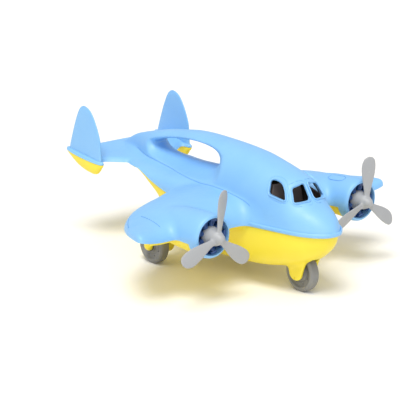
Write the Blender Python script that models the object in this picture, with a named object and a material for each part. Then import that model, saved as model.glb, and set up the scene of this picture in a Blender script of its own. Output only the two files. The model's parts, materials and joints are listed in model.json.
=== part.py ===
"""Toy cargo airplane, at rest, in metres: +Z up, nose along -Y, port wing along +X.

The origin lies on the ground under the middle of the bounding box. Sizes below are in
millimetres and are turned into metres where a mesh is made. Blue mouldings lie above the
seam, yellow mouldings below it, and neighbouring mouldings keep GAP between them.
"""

import math

import bmesh
import bpy
from mathutils import Matrix, Vector

MM = 0.001
GAP = 0.3
WALL = 2.6

# Overall size.
LENGTH = 337.0
NOSE_Y = -LENGTH / 2
TAIL_Y = LENGTH / 2

# Running gear.
WHEEL_R = 18.5
WHEEL_WIDTH = 10.5
WHEEL_SEGMENTS = 24
NOSE_WHEEL_Y = -125.5
REAR_WHEEL_X = 53.5
REAR_WHEEL_Y = 30.0
AXLE_R = 3.0
AXLE_CLEARANCE = 0.4
LUG_THICKNESS = 4.0
WELL_HALF_WIDTH = WHEEL_WIDTH / 2 + 1.0
WELL_HALF_LENGTH = WHEEL_R + 1.5
WELL_TOP = 2 * WHEEL_R + 2.0
WELL_WALL = 2.2
NOSE_LUG_HALF_LENGTH = 12.5
NOSE_LUG_BOTTOM = 11.5
NOSE_LUG_TOP = 36.0
REAR_LUG_INNER_X = 35.0
REAR_LUG_OUTER_X = 46.6
REAR_LUG_HALF_LENGTH = 9.5
REAR_LUG_BOTTOM = 8.5
REAR_LUG_TOP = 44.0
REAR_LUG_LEAN = 8.0

# Engines and propellers.
ENGINE_X = 93.0
ENGINE_Z = 66.0
COWL_FRONT_Y = -107.5
COWL_BACK_Y = -96.0
COWL_R = 19.9
RECESS_R = 17.6
RECESS_BACK_Y = -91.5
BULKHEAD_BACK_Y = -87.0
NACELLE_SEAM_Z = 61.5
ENGINE_DISC_Y = -99.5
CYLINDER_COUNT = 9
CYLINDER_REACH = 14.3
CYLINDER_HALF_LENGTH = 2.6
CYLINDER_HALF_WIDTH = 3.4
CYLINDER_HEIGHT = 5.4
SPINNER_BACK_Y = -100.6
SPINNER_FRONT_Y = -121.0
SPINNER_R = 9.6
BLADE_Y = -113.5
BLADE_PITCH = math.radians(17)
PROP_PIN_R = 3.0
SHAFT_FRONT_Y = -111.6
SHAFT_BACK_Y = -80.6
RETAINER_R = 7.0
RETAINER_THICKNESS = 2.4
PROP_PHASE = {"right": math.radians(80), "left": math.radians(84)}
PROP_HAND = {"right": -1, "left": 1}

# Tail.
FIN_X = 57.0
FIN_THICKNESS = 4.0
POD_HALF_WIDTH = 6.0
POD_HEIGHT = 4.5

# Cargo bay and ramp.
FLOOR_Z = 19.0
HULL_WALL = 2.0
PAD_TOP_Z = 21.2
PAD_HALF_WIDTH = 15.0
PAD_FRONT_Y = -62.0
PAD_BACK_Y = 3.0
RAMP_HALF_WIDTH = 31.0
RAMP_HINGE_Y = 9.5
RAMP_HINGE_Z = 19.6
RAMP_BARREL_R = 3.6
RAMP_PIN_R = 1.7
RAMP_SWING_GAP = 2.6
HINGE_EAR_WIDTH = 5.8
HINGE_EAR_HALF_LENGTH = 5.0
HINGE_EAR_BOTTOM = 17.5
HINGE_EAR_TOP = 24.5

# Stations along the fuselage: (y, value).
OUTLINE = (  # half-width of the body at the seam
    (-168.5, 0.4), (-167.5, 6.0), (-165.5, 10.0), (-162.5, 13.5), (-158.5, 17.5), (-152.0, 21.5),
    (-146.5, 24.5), (-135.0, 28.0), (-119.5, 31.5), (-92.5, 37.0), (-70.0, 39.5), (-45.0, 41.0),
    (25.0, 41.0), (53.0, 39.5), (69.0, 37.5), (82.0, 35.5), (92.0, 33.0), (105.0, 28.0),
    (125.0, 18.0), (145.0, 9.0), (162.0, 5.0),
)
SEAM = (  # height of the seam between blue and yellow
    (-168.5, 62.0), (-60.0, 62.0), (0.0, 64.5), (25.0, 69.0), (37.0, 71.5), (53.0, 75.5),
    (69.0, 80.0), (80.0, 82.2), (90.0, 82.0), (98.0, 82.0), (101.0, 82.3), (162.5, 88.4),
)
SHOULDER = (  # top of the shoulder moulding: a low band round the nose, then the wing root
    (-168.5, 66.0), (-106.0, 66.2), (-96.0, 74.5), (-84.0, 86.0), (-68.0, 89.5), (0.0, 89.5),
    (25.0, 88.2), (42.0, 87.8), (60.0, 88.6), (91.0, 90.5), (113.0, 93.0), (127.0, 94.5),
    (142.0, 92.5), (162.0, 89.5),
)
SPINE_WIDTH = (  # half-width of the raised back and cabin
    (-167.5, 0.4), (-166.3, 5.0), (-164.3, 8.6), (-161.3, 12.2), (-157.3, 16.3), (-151.0, 20.3),
    (-145.5, 23.2), (-135.0, 26.8), (-119.5, 30.2), (-105.0, 32.0), (-90.0, 33.0), (-45.0, 33.0),
    (0.0, 30.5), (25.0, 26.5), (45.0, 21.5), (68.0, 18.5), (86.0, 16.5), (113.0, 9.5),
    (127.0, 6.5), (147.0, 3.0),
)
SPINE_TOP = (  # height of the back on the centre line, with the windscreen at y = -127 to -137
    (-167.5, 66.6), (-166.5, 69.5), (-163.0, 74.0), (-157.0, 79.0), (-149.0, 84.0), (-141.0, 88.0),
    (-136.5, 91.0), (-131.5, 98.5), (-127.0, 104.5), (-122.0, 108.5), (-112.0, 111.7),
    (-92.0, 116.2), (-78.0, 119.4), (-64.0, 122.0), (-28.0, 124.6), (10.0, 125.5), (30.0, 124.6),
    (45.0, 122.4), (69.0, 118.4), (97.0, 111.8), (113.0, 107.5), (124.0, 104.0), (133.0, 99.5),
    (147.0, 92.0),
)
KEEL = (  # lowest line of the hull; it sweeps up behind the rear wheels
    (-168.0, 60.5), (-166.5, 53.0), (-161.5, 46.0), (-151.5, 38.0), (-144.5, 33.5), (-127.5, 27.0),
    (-117.5, 24.5), (-100.0, 21.0), (-82.0, 19.0), (-58.0, 17.3), (-30.0, 16.3), (16.0, 16.0),
    (21.0, 18.0), (27.0, 26.0), (34.0, 39.0), (41.0, 51.0), (49.0, 60.0), (60.0, 67.5),
    (72.0, 74.0), (86.0, 79.0),
)
HULL_END_Y = 86.0

# Colours.
BLUE = (0.30, 0.62, 0.93, 1)
YELLOW = (0.95, 0.80, 0.06, 1)
GREY = (0.42, 0.43, 0.44, 1)
NAVY = (0.03, 0.12, 0.32, 1)


# ---------------------------------------------------------------- general helpers

def clear_scene():
    for obj in list(bpy.data.objects):
        bpy.data.objects.remove(obj)


def make_material(name, colour, roughness):
    material = bpy.data.materials.new(name)
    material.use_nodes = True
    shader = material.node_tree.nodes["Principled BSDF"]
    shader.inputs["Base Color"].default_value = colour
    shader.inputs["Roughness"].default_value = roughness
    shader.inputs["Metallic"].default_value = 0.0
    return material


def curve(table, at):
    """The value of a station table at a point, on a smooth curve that never overshoots."""
    points = list(table)
    if at <= points[0][0]:
        return points[0][1]
    if at >= points[-1][0]:
        return points[-1][1]
    steps = [b[0] - a[0] for a, b in zip(points, points[1:])]
    slopes = [(b[1] - a[1]) / h for a, b, h in zip(points, points[1:], steps)]
    tangents = [slopes[0]]
    for before, after in zip(slopes, slopes[1:]):
        tangents.append(0.0 if before * after <= 0 else 2 * before * after / (before + after))
    tangents.append(slopes[-1])
    i = max(k for k, point in enumerate(points[:-1]) if point[0] <= at)
    h = steps[i]
    t = (at - points[i][0]) / h
    return (
        points[i][1] * (1 + 2 * t) * (1 - t) ** 2
        + tangents[i] * h * t * (1 - t) ** 2
        + points[i + 1][1] * t * t * (3 - 2 * t)
        + tangents[i + 1] * h * t * t * (t - 1)
    )


def clamp(value):
    return min(max(value, 0.0), 1.0)


def ease(value):
    """A smooth step from 0 to 1."""
    t = clamp(value)
    return t * t * (3 - 2 * t)


def spread(start, end, count):
    return [start + (end - start) * i / (count - 1) for i in range(count)]


def nose_stations(nose_y, body):
    """Stations that crowd together towards the blunt nose, then the given ones."""
    return [nose_y + step for step in (0.0, 1.0, 3.0, 6.0, 10.5, 17.0, 24.0)] + list(body)


def mesh_object(name, vertices, faces):
    mesh = bpy.data.meshes.new(name)
    mesh.from_pydata([[c * MM for c in v] for v in vertices], [], faces)
    work = bmesh.new()
    work.from_mesh(mesh)
    bmesh.ops.recalc_face_normals(work, faces=work.faces)
    work.to_mesh(mesh)
    work.free()
    obj = bpy.data.objects.new(name, mesh)
    bpy.context.scene.collection.objects.link(obj)
    return obj


def loft(name, rings):
    """A closed solid through rings of equally many points."""
    count = len(rings[0])
    vertices = [point for ring in rings for point in ring]
    faces = [list(range(count))[::-1], [(len(rings) - 1) * count + i for i in range(count)]]
    for r in range(len(rings) - 1):
        for i in range(count):
            j = (i + 1) % count
            faces.append([r * count + i, r * count + j, (r + 1) * count + j, (r + 1) * count + i])
    return mesh_object(name, vertices, faces)


def prism(name, outline, axis, low, high):
    """An outline in the plane across an axis, drawn out along that axis from low to high."""
    place = {
        "x": lambda u, v, d: (d, u, v),
        "y": lambda u, v, d: (u, d, v),
        "z": lambda u, v, d: (u, v, d),
    }[axis]
    return loft(name, [[place(u, v, d) for u, v in outline] for d in (low, high)])


def turned(name, profile, centre, axis, segments, phase=0.5):
    """A solid of revolution: profile is (distance along the axis, radius), end to end."""
    rings = []
    for along, radius in profile:
        ring = []
        for i in range(segments):
            angle = 2 * math.pi * (i + phase) / segments
            a, b = radius * math.cos(angle), radius * math.sin(angle)
            x, y, z = centre
            ring.append((x + along, y + a, z + b) if axis == "x" else (x + a, y + along, z + b))
        rings.append(ring)
    return loft(name, rings)


def box(name, low, high):
    corners = [(low[0], low[1]), (high[0], low[1]), (high[0], high[1]), (low[0], high[1])]
    return prism(name, corners, "z", low[2], high[2])


def combine(target, others, operation):
    """Applies a Boolean with each of the other objects in turn, and removes them."""
    for other in others:
        modifier = target.modifiers.new(operation, "BOOLEAN")
        modifier.operation = operation
        modifier.object = other
        modifier.solver = "EXACT"
        bpy.context.view_layer.update()
        graph = bpy.context.evaluated_depsgraph_get()
        mesh = bpy.data.meshes.new_from_object(target.evaluated_get(graph))
        target.modifiers.clear()
        target.data = mesh
        bpy.data.objects.remove(other)
    return target


def join(target, others):
    return combine(target, others, "UNION")


def cut(target, others):
    return combine(target, others, "DIFFERENCE")


def finish(obj, name, material, smooth_angle=35):
    obj.name = name
    obj.data.name = name
    obj.data.materials.clear()
    obj.data.materials.append(material)
    obj.data.shade_smooth()
    obj.data.set_sharp_from_angle(angle=math.radians(smooth_angle))
    return obj


def put_origin(obj, point):
    """Moves the object's origin to a point in millimetres, such as a point on its joint axis."""
    place = Vector(point) * MM
    obj.data.transform(Matrix.Translation(-place))
    obj.location = place
    return obj


def side_of(side):
    return 1 if side == "left" else -1


# ---------------------------------------------------------------- body sections

def arch(y, half, base, top, power, count):
    """Half a superellipse from a base line up (or down) to its top, closed along the base."""
    ring = []
    for i in range(count):
        angle = math.pi * i / (count - 1)
        c, s = math.cos(angle), math.sin(angle)
        x = half * math.copysign(abs(c) ** (2 / power), c)
        z = base + (top - base) * abs(s) ** (2 / power)
        ring.append((x, y, z))
    return ring + [(-half / 3, y, base), (half / 3, y, base)]


def shoulder_ring(y, inset=0.0, lower=0.0):
    base = curve(SEAM, y) - lower
    top = curve(SHOULDER, y) - inset
    half = max(curve(OUTLINE, y) - inset, 0.2)
    power = curve(((25.0, 3.2), (75.0, 1.5)), y)
    return arch(y, half, base, max(top, base + 0.5), power, 15)


def spine_ring(y, inset=0.0, drop=0.0):
    base = curve(SEAM, y) + curve(((-110.0, 0.6), (-95.0, 3.0)), y) - drop
    top = curve(SPINE_TOP, y) - inset
    half = max(curve(SPINE_WIDTH, y) - inset, 0.2)
    return arch(y, half, base, max(top, base + 0.5), 2.4, 17)


def hull_ring(y, inset=0.0, raise_by=0.0, floor=None):
    base = curve(SEAM, y) - GAP + raise_by
    bottom = curve(KEEL, y) + inset
    half = max(curve(OUTLINE, y) - curve(((-160.0, 1.8), (-130.0, 1.0)), y) - inset, 0.2)
    roundness = curve(((-160.0, 2.1), (-90.0, 3.4)), y)
    ring = arch(y, half, base, min(bottom, base - 0.4), roundness, 19)
    if floor is not None:
        ring = [(x, y_, max(z, floor)) for x, y_, z in ring]
    return ring


# ---------------------------------------------------------------- wings

LEADING_EDGE = (
    (30.0, -91.0), (43.0, -87.0), (56.0, -85.0), (72.0, -84.5), (93.0, -81.5), (112.0, -77.8),
    (130.0, -77.8), (146.0, -79.0), (151.0, -78.9), (153.2, -77.6), (154.0, -75.0),
)
TRAILING_EDGE = (
    (30.0, 25.0), (45.0, 20.5), (73.0, 11.5), (95.0, 3.5), (108.0, -2.7), (120.0, -12.0),
    (132.0, -25.0), (141.0, -38.5), (147.0, -50.0), (151.0, -61.0), (153.2, -69.0), (154.0, -73.6),
)


def wing_edges(x):
    """Leading and trailing edge of the wing's plan at a distance x from the centre line."""
    return curve(LEADING_EDGE, x), curve(TRAILING_EDGE, x)


def wing_seam(x, y):
    """The seam follows the body's at the wing root, runs nearly level, and lifts at the tip."""
    level = 60.5 + 3.5 * clamp((y + 75.5) / 100.0) + 4.5 * clamp((x - 128.0) / 26.0) ** 1.5
    outward = ease((x - 43.0) / 34.0)
    return curve(SEAM, y) * (1 - outward) + level * outward


WING_HEIGHT = (
    (30.0, 27.5), (45.0, 27.3), (60.0, 26.8), (80.0, 24.8), (93.0, 22.4), (108.0, 18.0),
    (122.0, 13.0), (140.0, 9.0), (150.0, 6.5), (154.0, 4.0),
)


def wing_ring(x, inset=0.0, drop=0.0, count=13):
    """A wing section at x: a rounded top over a flat underside that lies drop below the seam."""
    leading, trailing = wing_edges(x)
    leading += inset
    trailing -= inset
    height = max(curve(WING_HEIGHT, x) - inset, 0.6)
    peak = 0.40 ** 0.42 * 0.60 ** 0.62
    ring = []
    for i in range(count):
        u = 0.5 - 0.5 * math.cos(math.pi * i / (count - 1))
        rise = height * (u ** 0.42 * (1 - u) ** 0.62) / peak
        y = leading + (trailing - leading) * u
        ring.append((x, y, wing_seam(x, y) + 1.6 * min(u * 12, 1, (1 - u) * 12) + rise * 0.93))
    base = [(x, y, wing_seam(x, y) - drop) for y in spread(trailing, leading, 7)]
    return ring + base


WING_STATIONS = (
    30.0, 43.0, 52.0, 60.0, 70.0, 82.0, 96.0, 108.0, 118.0, 127.0, 135.0, 142.0, 147.0, 151.0,
    153.2, 154.0,
)


def wing(name, inset=0.0, drop=0.0, stations=WING_STATIONS):
    return loft(name, [wing_ring(x, inset, drop) for x in stations])


def nacelle(name, inset=0.0):
    profile = [
        (COWL_FRONT_Y, COWL_R - 0.9), (COWL_FRONT_Y + 1.2, COWL_R), (-98.0, COWL_R + 1.0),
        (-86.0, COWL_R + 0.8), (-70.0, 19.6), (-50.0, 16.2), (-30.0, 11.0), (-12.0, 4.0),
    ]
    profile = [(y + (inset * 6 if i < 2 else 0), r - inset) for i, (y, r) in enumerate(profile)]
    return turned(name, profile, (ENGINE_X, 0, ENGINE_Z), "y", 28)


def mirrored(obj, name):
    """The same shape on the other side of the airplane."""
    mesh = obj.data.copy()
    mesh.transform(Matrix.Scale(-1, 4, (1, 0, 0)))
    mesh.flip_normals()
    copy = bpy.data.objects.new(name, mesh)
    bpy.context.scene.collection.objects.link(copy)
    return copy


# ---------------------------------------------------------------- tail

def stabiliser_bottom(y):
    """The seam under the tailplane and its pods, which rises gently towards the back."""
    return 81.8 + 6.1 * (y - 101.0) / 61.5


def pod_half(y):
    t = (y - 107.5) / (TAIL_Y - 107.5)
    return max(POD_HALF_WIDTH * (4 * t * (1 - t)) ** 0.4, 0.4)


POD_STATIONS = (107.5, 109.0, 112.0, 117.0, 124.0, 133.0, 143.0, 152.0, 160.0, 165.0, 167.5, TAIL_Y)
KEEL_DEPTH = (
    (107.5, 0.8), (111.0, 4.5), (114.0, 8.5), (118.0, 11.8), (123.0, 13.0), (132.0, 12.8),
    (145.0, 10.6), (153.0, 7.6), (161.0, 3.8), (168.5, 0.8),
)


def stabiliser_edges(x):
    leading = curve(((0.0, 96.0), (26.0, 101.0), (51.0, 116.0), (60.0, 119.0)), x)
    return leading, 162.5


def stabiliser_plate(name, bottom, thickness, inset=0.0, half=FIN_X):
    rings = []
    for x in (-half, -40, -26, -13, 0, 13, 26, 40, half):
        leading, trailing = stabiliser_edges(abs(x))
        leading += inset
        trailing -= inset
        edge = thickness / 3
        section = (
            (trailing, 0.0), (leading, 0.0), (leading, thickness - edge),
            (leading + edge * 1.5, thickness), (trailing - edge * 1.5, thickness),
            (trailing, thickness - edge),
        )
        rings.append([(x, y, stabiliser_bottom(y) + bottom + z) for y, z in section])
    return loft(name, rings)


def pod(name, x):
    """The slim blue pod at a tip of the tailplane, which carries the fin."""
    rings = []
    for y in POD_STATIONS:
        base = stabiliser_bottom(y)
        rings.append(arch(y, pod_half(y), base, base + POD_HEIGHT, 2.6, 9))
    return loft(name, [[(x + px, py, pz) for px, py, pz in ring] for ring in rings])


def keel_pod(name, x):
    """The yellow keel that hangs under a pod."""
    rings = []
    for y in POD_STATIONS:
        base = stabiliser_bottom(y) - GAP
        half = max(pod_half(y) - 0.8, 0.3)
        rings.append(arch(y, half, base, base - curve(KEEL_DEPTH, y), 2.4, 9))
    return loft(name, [[(x + px, py, pz) for px, py, pz in ring] for ring in rings])


def fin_solid(name, x, grow=0.0):
    """A fin: bullet-shaped from the side, thinning upward, with its foot inside the pod."""
    rings = []
    for level in FIN_LEVELS:
        front = curve(FIN_FRONT, level) - grow
        back = curve(FIN_BACK, level) + grow
        half = FIN_THICKNESS / 2 * (1 - 0.45 * (level - 88.0) / 50.0) + grow
        ring = []
        for i in range(16):
            angle = 2 * math.pi * i / 16
            c, s = math.cos(angle), math.sin(angle)
            y = (front + back) / 2 + (back - front) / 2 * c
            dx = half * math.copysign(abs(s) ** 0.6, s)
            z = level
            if level == FIN_LEVELS[0]:
                z = stabiliser_bottom(y) + 1.6 - grow
            ring.append((x + dx, y, z))
        rings.append(ring)
    return loft(name, rings)


FIN_LEVELS = (90.0, 99.0, 110.0, 119.0, 126.0, 131.5, 135.4, 137.4, 138.2)
FIN_FRONT = (
    (86.0, 110.5), (105.0, 112.0), (117.7, 116.5), (126.0, 121.0), (131.6, 125.0),
    (135.4, 129.0), (137.4, 133.0), (138.2, 136.5),
)
FIN_BACK = (
    (86.0, 164.6), (91.0, 163.5), (99.0, 161.0), (119.0, 153.5), (126.0, 150.3), (131.5, 147.4),
    (135.4, 144.4), (137.4, 141.5), (138.2, 139.0),
)


# ---------------------------------------------------------------- openings

GRIP_HOLE = (  # the hand hole in side view: blunt in front, pointed behind
    (-19.5, 105.5), (-17.8, 109.6), (-13.0, 113.2), (-5.0, 115.6), (8.0, 117.0), (25.0, 117.0),
    (45.0, 115.0), (64.0, 111.6), (80.0, 107.4), (90.0, 103.4), (87.0, 100.4), (78.0, 97.8),
    (60.0, 95.6), (35.0, 94.6), (10.0, 95.2), (-6.0, 97.2), (-15.5, 100.6),
)
HANDLE_HALF_WIDTH = 8.0
SCOOP_DEPTH = 8.0
SCOOP_REACH = 17.0
SCREEN_OUTLINE = ((2.4, 103.6), (12.6, 100.8), (17.0, 89.6), (3.4, 91.6))
SIDE_WINDOW_OUTLINE = (
    (-104.5, 105.6), (-114.0, 104.0), (-119.5, 99.5), (-123.0, 92.4), (-107.5, 94.6),
)


def grip_cutter():
    """The hand hole. Its floor is a ridge, and its ends and roof open outward into a scoop."""
    rings = []
    for x in (-44, -33, -26, -20, -15, -11, -8, -4, 0, 4, 8, 11, 15, 20, 26, 33, 44):
        out = max(abs(x) - HANDLE_HALF_WIDTH, 0.0)
        drop = SCOOP_DEPTH * math.tanh(max(abs(x) - 2.0, 0.0) / SCOOP_REACH)
        ring = []
        for y, z in GRIP_HOLE:
            shift = 1.25 * ease((y - 20.0) / 60.0) - 1.3 * ease((40.0 - y) / 50.0)
            lift = 0.55 * out * ease((z - 99.0) / 6.0) - drop * ease((102.0 - z) / 5.0)
            ring.append((x, y + shift * out, z + lift))
        rings.append(ring)
    return loft("grip_hole", rings)


def engine_hollow(name):
    profile = [(BULKHEAD_BACK_Y, 17.4), (-60.0, 14.0), (-40.0, 8.0)]
    return turned(name, profile, (ENGINE_X, 0, ENGINE_Z), "y", 20)


def engine_recess(name):
    profile = [(COWL_FRONT_Y - 2, RECESS_R), (RECESS_BACK_Y, RECESS_R)]
    return turned(name, profile, (ENGINE_X, 0, ENGINE_Z), "y", 28)


def below_nacelle_seam(name, top):
    """The space of the nacelle's lower half behind the cowl."""
    return box(name, (ENGINE_X - 26, COWL_BACK_Y, 20), (ENGINE_X + 26, 5, top))


# ---------------------------------------------------------------- blue mouldings

def build_upper_shell(material):
    """Back, cabin, wings, cowls and tailplane in one blue moulding, open underneath."""
    middle = (-130.0, -116.0, -104.0, -96.0, -88.0, -82.0, -76.0, -66.0, -45.0, -20.0, 0.0, 16.0)
    rear = (
        24.0, 34.0, 41.0, 49.0, 60.0, 72.0, HULL_END_Y, 92.0, 98.0, 110.0, 125.0, 145.0, 161.0
    )
    shell = loft("shell", [shoulder_ring(y) for y in nose_stations(NOSE_Y, middle + rear)])
    back = (
        -136.5, -131.5, -127.0, -122.0, -112.0, -92.0, -78.0, -64.0, -40.0, -10.0, 20.0, 45.0,
        69.0, 97.0, 113.0, 124.0, 133.0, 147.0,
    )
    spine = loft("spine", [spine_ring(y) for y in nose_stations(-167.5, back)])
    port_wing, port_nacelle = wing("wing"), nacelle("nacelle")
    pieces = [spine, port_wing, mirrored(port_wing, "w"), port_nacelle, mirrored(port_nacelle, "n")]
    pieces.append(stabiliser_plate("stabiliser", 0.25, 4.0))
    pieces += [pod("pod", FIN_X), pod("pod", -FIN_X)]
    join(shell, pieces)

    bay_stations = (-100.0, -88.0, -76.0, -60.0, -20.0, 20.0, 42.0, 60.0, 76.0)
    bay = loft("bay", [shoulder_ring(y, WALL, 12.0) for y in bay_stations])
    cabin_stations = (
        -161.0, -157.0, -150.0, -144.0, -136.5, -131.5, -127.0, -122.0, -112.0, -92.0, -64.0,
        -48.0,
    )
    cabin = loft("cabin", [spine_ring(y, WALL, 14.0) for y in cabin_stations])
    hollow = wing("hollow", WALL, 12.0, WING_STATIONS[1:-5] + (141.0, 146.0))
    bore = PROP_PIN_R + AXLE_CLEARANCE
    shaft_hole = turned(
        "shaft_hole", [(-100.0, bore), (-80.0, bore)], (ENGINE_X, 0, ENGINE_Z), "y", 16
    )
    cutters = [join(cabin, [bay])]
    under = below_nacelle_seam("under", NACELLE_SEAM_Z)
    for cutter in (under, hollow, engine_hollow("hollow"), engine_recess("recess"), shaft_hole):
        cutters += [cutter, mirrored(cutter, "mirror")]
    cut(shell, cutters)

    screen = prism("screen", SCREEN_OUTLINE, "y", -150, -100)
    window = prism("window", SIDE_WINDOW_OUTLINE, "x", 8, 60)
    cut(shell, [screen, mirrored(screen, "s"), window, mirrored(window, "s"), grip_cutter()])
    cut(shell, [fin_solid("slot", side * FIN_X, GAP) for side in (1, -1)])
    return finish(shell, "upper_shell", material)


def build_fin(side, material):
    fin = fin_solid("fin", side_of(side) * FIN_X)
    return finish(fin, f"tail_fin_{side}", material, 50)


# ---------------------------------------------------------------- yellow mouldings

def lug(name, x_inner, x_outer, y, half_width, bottom, top, lean=0.0):
    """A bearing lug: a plate across X, U-shaped from the side, whose top may lean forward."""
    round_top = bottom + half_width * 0.75
    outline = [(y + half_width - lean / 2, top)]
    for i in range(9):
        angle = math.pi * i / 8
        dy = half_width * math.cos(angle)
        outline.append((y + dy, round_top - half_width * 0.75 * math.sin(angle)))
    outline.append((y - half_width - lean, top))
    low, high = sorted((x_inner, x_outer))
    return prism(name, outline, "x", low, high)


def rod(name, centre, low, high, radius, segments=16):
    return turned(name, [(low, radius), (high, radius)], (0, *centre), "x", segments)


def wing_underside():
    """The port wing's yellow underside, with the lower half of the nacelle."""
    rings = []
    for x in WING_STATIONS[:-6] + (136.0, 141.0):
        leading, trailing = wing_edges(x)
        leading += 2.2
        trailing -= 2.2
        ys = spread(leading, trailing, 7)
        clear = GAP + (0.7 if x < 45 else 0.0)
        low = [(x, y, wing_seam(x, y) - GAP - 2.6) for y in ys]
        high = [(x, y, wing_seam(x, y) - clear) for y in ys[::-1]]
        rings.append(low + high)
    panel = loft("panel", rings)
    half_nacelle = nacelle("half_nacelle", 0.9)
    combine(half_nacelle, [box("keep", (60, COWL_BACK_Y + GAP, 20), (130, 5, NACELLE_SEAM_Z - GAP))],
            "INTERSECT")
    return join(panel, [half_nacelle])


def build_hull(material):
    """The yellow tub, wing undersides and wheel lugs, open at the top and at the ramp."""
    body = (
        -136.0, -122.0, -108.0, -92.0, -76.0, -58.0, -30.0, 0.0, 16.0, 21.0, 24.0, 27.0, 34.0,
        41.0, 49.0, 60.0, 72.0, HULL_END_Y,
    )
    hull = loft("hull", [hull_ring(y) for y in nose_stations(-167.9, body)])
    port_underside = wing_underside()
    pieces = [port_underside, mirrored(port_underside, "u")]
    for sign in (1, -1):
        x = sign * WELL_HALF_WIDTH
        pieces.append(lug("nose_lug", x, x + sign * LUG_THICKNESS, NOSE_WHEEL_Y,
                          NOSE_LUG_HALF_LENGTH, NOSE_LUG_BOTTOM, NOSE_LUG_TOP))
        pieces.append(lug("rear_lug", sign * REAR_LUG_INNER_X, sign * REAR_LUG_OUTER_X, REAR_WHEEL_Y,
                          REAR_LUG_HALF_LENGTH, REAR_LUG_BOTTOM, REAR_LUG_TOP, REAR_LUG_LEAN))
        inner_x = RAMP_HALF_WIDTH + 0.2
        low, high = sorted((sign * inner_x, sign * (inner_x + HINGE_EAR_WIDTH)))
        front, back = RAMP_HINGE_Y - HINGE_EAR_HALF_LENGTH, RAMP_HINGE_Y + HINGE_EAR_HALF_LENGTH
        pieces.append(box("ear", (low, front, HINGE_EAR_BOTTOM), (high, back, HINGE_EAR_TOP)))
    join(hull, pieces)
    inner = (
        -158.0, -150.0, -142.0, -130.0, -116.0, -100.0, -80.0, -58.0, -30.0, 0.0, 16.0, 21.0,
        27.0, 34.0, 41.0, 49.0, 60.0, 72.0, 90.0,
    )
    cavity = loft("cavity", [hull_ring(y, HULL_WALL, 12.0, FLOOR_Z) for y in inner])
    bowl, recess = engine_hollow("bowl"), engine_recess("recess")
    doorway = box("doorway", (-RAMP_HALF_WIDTH, RAMP_HINGE_Y - RAMP_BARREL_R - 0.5, 0),
                  (RAMP_HALF_WIDTH, 100, 110))
    cut(hull, [cavity, bowl, mirrored(bowl, "b"), recess, mirrored(recess, "r"), doorway])
    half_width, half_length = WELL_HALF_WIDTH + WELL_WALL, WELL_HALF_LENGTH + WELL_WALL
    hump = box("hump", (-half_width, NOSE_WHEEL_Y - half_length, 15.0),
               (half_width, NOSE_WHEEL_Y + half_length, WELL_TOP + WELL_WALL))
    filled = loft("filled", [hull_ring(y, 0.6) for y in (-155.0,) + body[:6]])
    combine(hump, [filled], "INTERSECT")
    pad = box("pad", (-PAD_HALF_WIDTH, PAD_FRONT_Y, FLOOR_Z - 0.6),
              (PAD_HALF_WIDTH, PAD_BACK_Y, PAD_TOP_Z))
    join(hull, [hump, pad])
    well = box("well", (-WELL_HALF_WIDTH, NOSE_WHEEL_Y - WELL_HALF_LENGTH, 0),
               (WELL_HALF_WIDTH, NOSE_WHEEL_Y + WELL_HALF_LENGTH, WELL_TOP))
    nose_hole = rod("hole", (NOSE_WHEEL_Y, WHEEL_R), -20, 20, AXLE_R + GAP)
    rear_holes = [
        rod("hole", (REAR_WHEEL_Y, WHEEL_R), *sorted((sign * 30, sign * 50)), AXLE_R + GAP)
        for sign in (1, -1)
    ]
    hinge_hole = rod("hole", (RAMP_HINGE_Y, RAMP_HINGE_Z), -35.2, 35.2, RAMP_PIN_R + GAP, 12)
    cut(hull, [well, nose_hole, hinge_hole] + rear_holes)
    return finish(hull, "lower_hull", material)


def build_ramp(material):
    """The cargo ramp: the hull's swept-up tail panel, swinging down about a pin at its foot."""
    stations = (14.0, 16.0, 21.0, 24.0, 27.0, 34.0, 41.0, 49.0, 60.0, 72.0, HULL_END_Y - 0.2)
    ramp = loft("ramp", [hull_ring(y) for y in stations])
    inner_stations = (8.0, 16.0, 21.0, 27.0, 34.0, 41.0, 49.0, 60.0, 72.0, 90.0)
    inner = loft("inner", [hull_ring(y, WALL, 12.0) for y in inner_stations])
    cut(ramp, [inner])
    edge = RAMP_HALF_WIDTH - GAP
    combine(ramp, [box("keep", (-edge, 0, 0), (edge, 100, 110))], "INTERSECT")
    barrel = rod("barrel", (RAMP_HINGE_Y, RAMP_HINGE_Z), -edge, edge, RAMP_BARREL_R, 20)
    web = box("web", (-edge, RAMP_HINGE_Y, 17.0), (edge, 15.5, 19.0))
    join(ramp, [barrel, web])
    bore = rod("bore", (RAMP_HINGE_Y, RAMP_HINGE_Z), -40, 40, RAMP_PIN_R + GAP, 12)
    cut(ramp, [bore])
    finish(ramp, "cargo_ramp", material)
    return put_origin(ramp, (0, RAMP_HINGE_Y, RAMP_HINGE_Z))


def build_tail_underside(material):
    """Closes the tailplane from below and carries the two keels."""
    plate = stabiliser_plate("plate", -1.5 * GAP - 2.2, 2.2, inset=1.0, half=FIN_X - 1)
    tail = []
    for y in (HULL_END_Y + RAMP_SWING_GAP, 92.0, 98.0, 110.0, 125.0, 145.0, 160.5):
        half = curve(OUTLINE, y) - 1.0
        high = curve(SEAM, y) - 2 * GAP
        tail.append([(half, y, high), (-half, y, high), (-half, y, high - 2.2), (half, y, high - 2.2)])
    join(plate, [loft("tail", tail), keel_pod("keel", FIN_X), keel_pod("keel", -FIN_X)])
    return finish(plate, "tail_underside", material)


# ---------------------------------------------------------------- running gear

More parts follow.
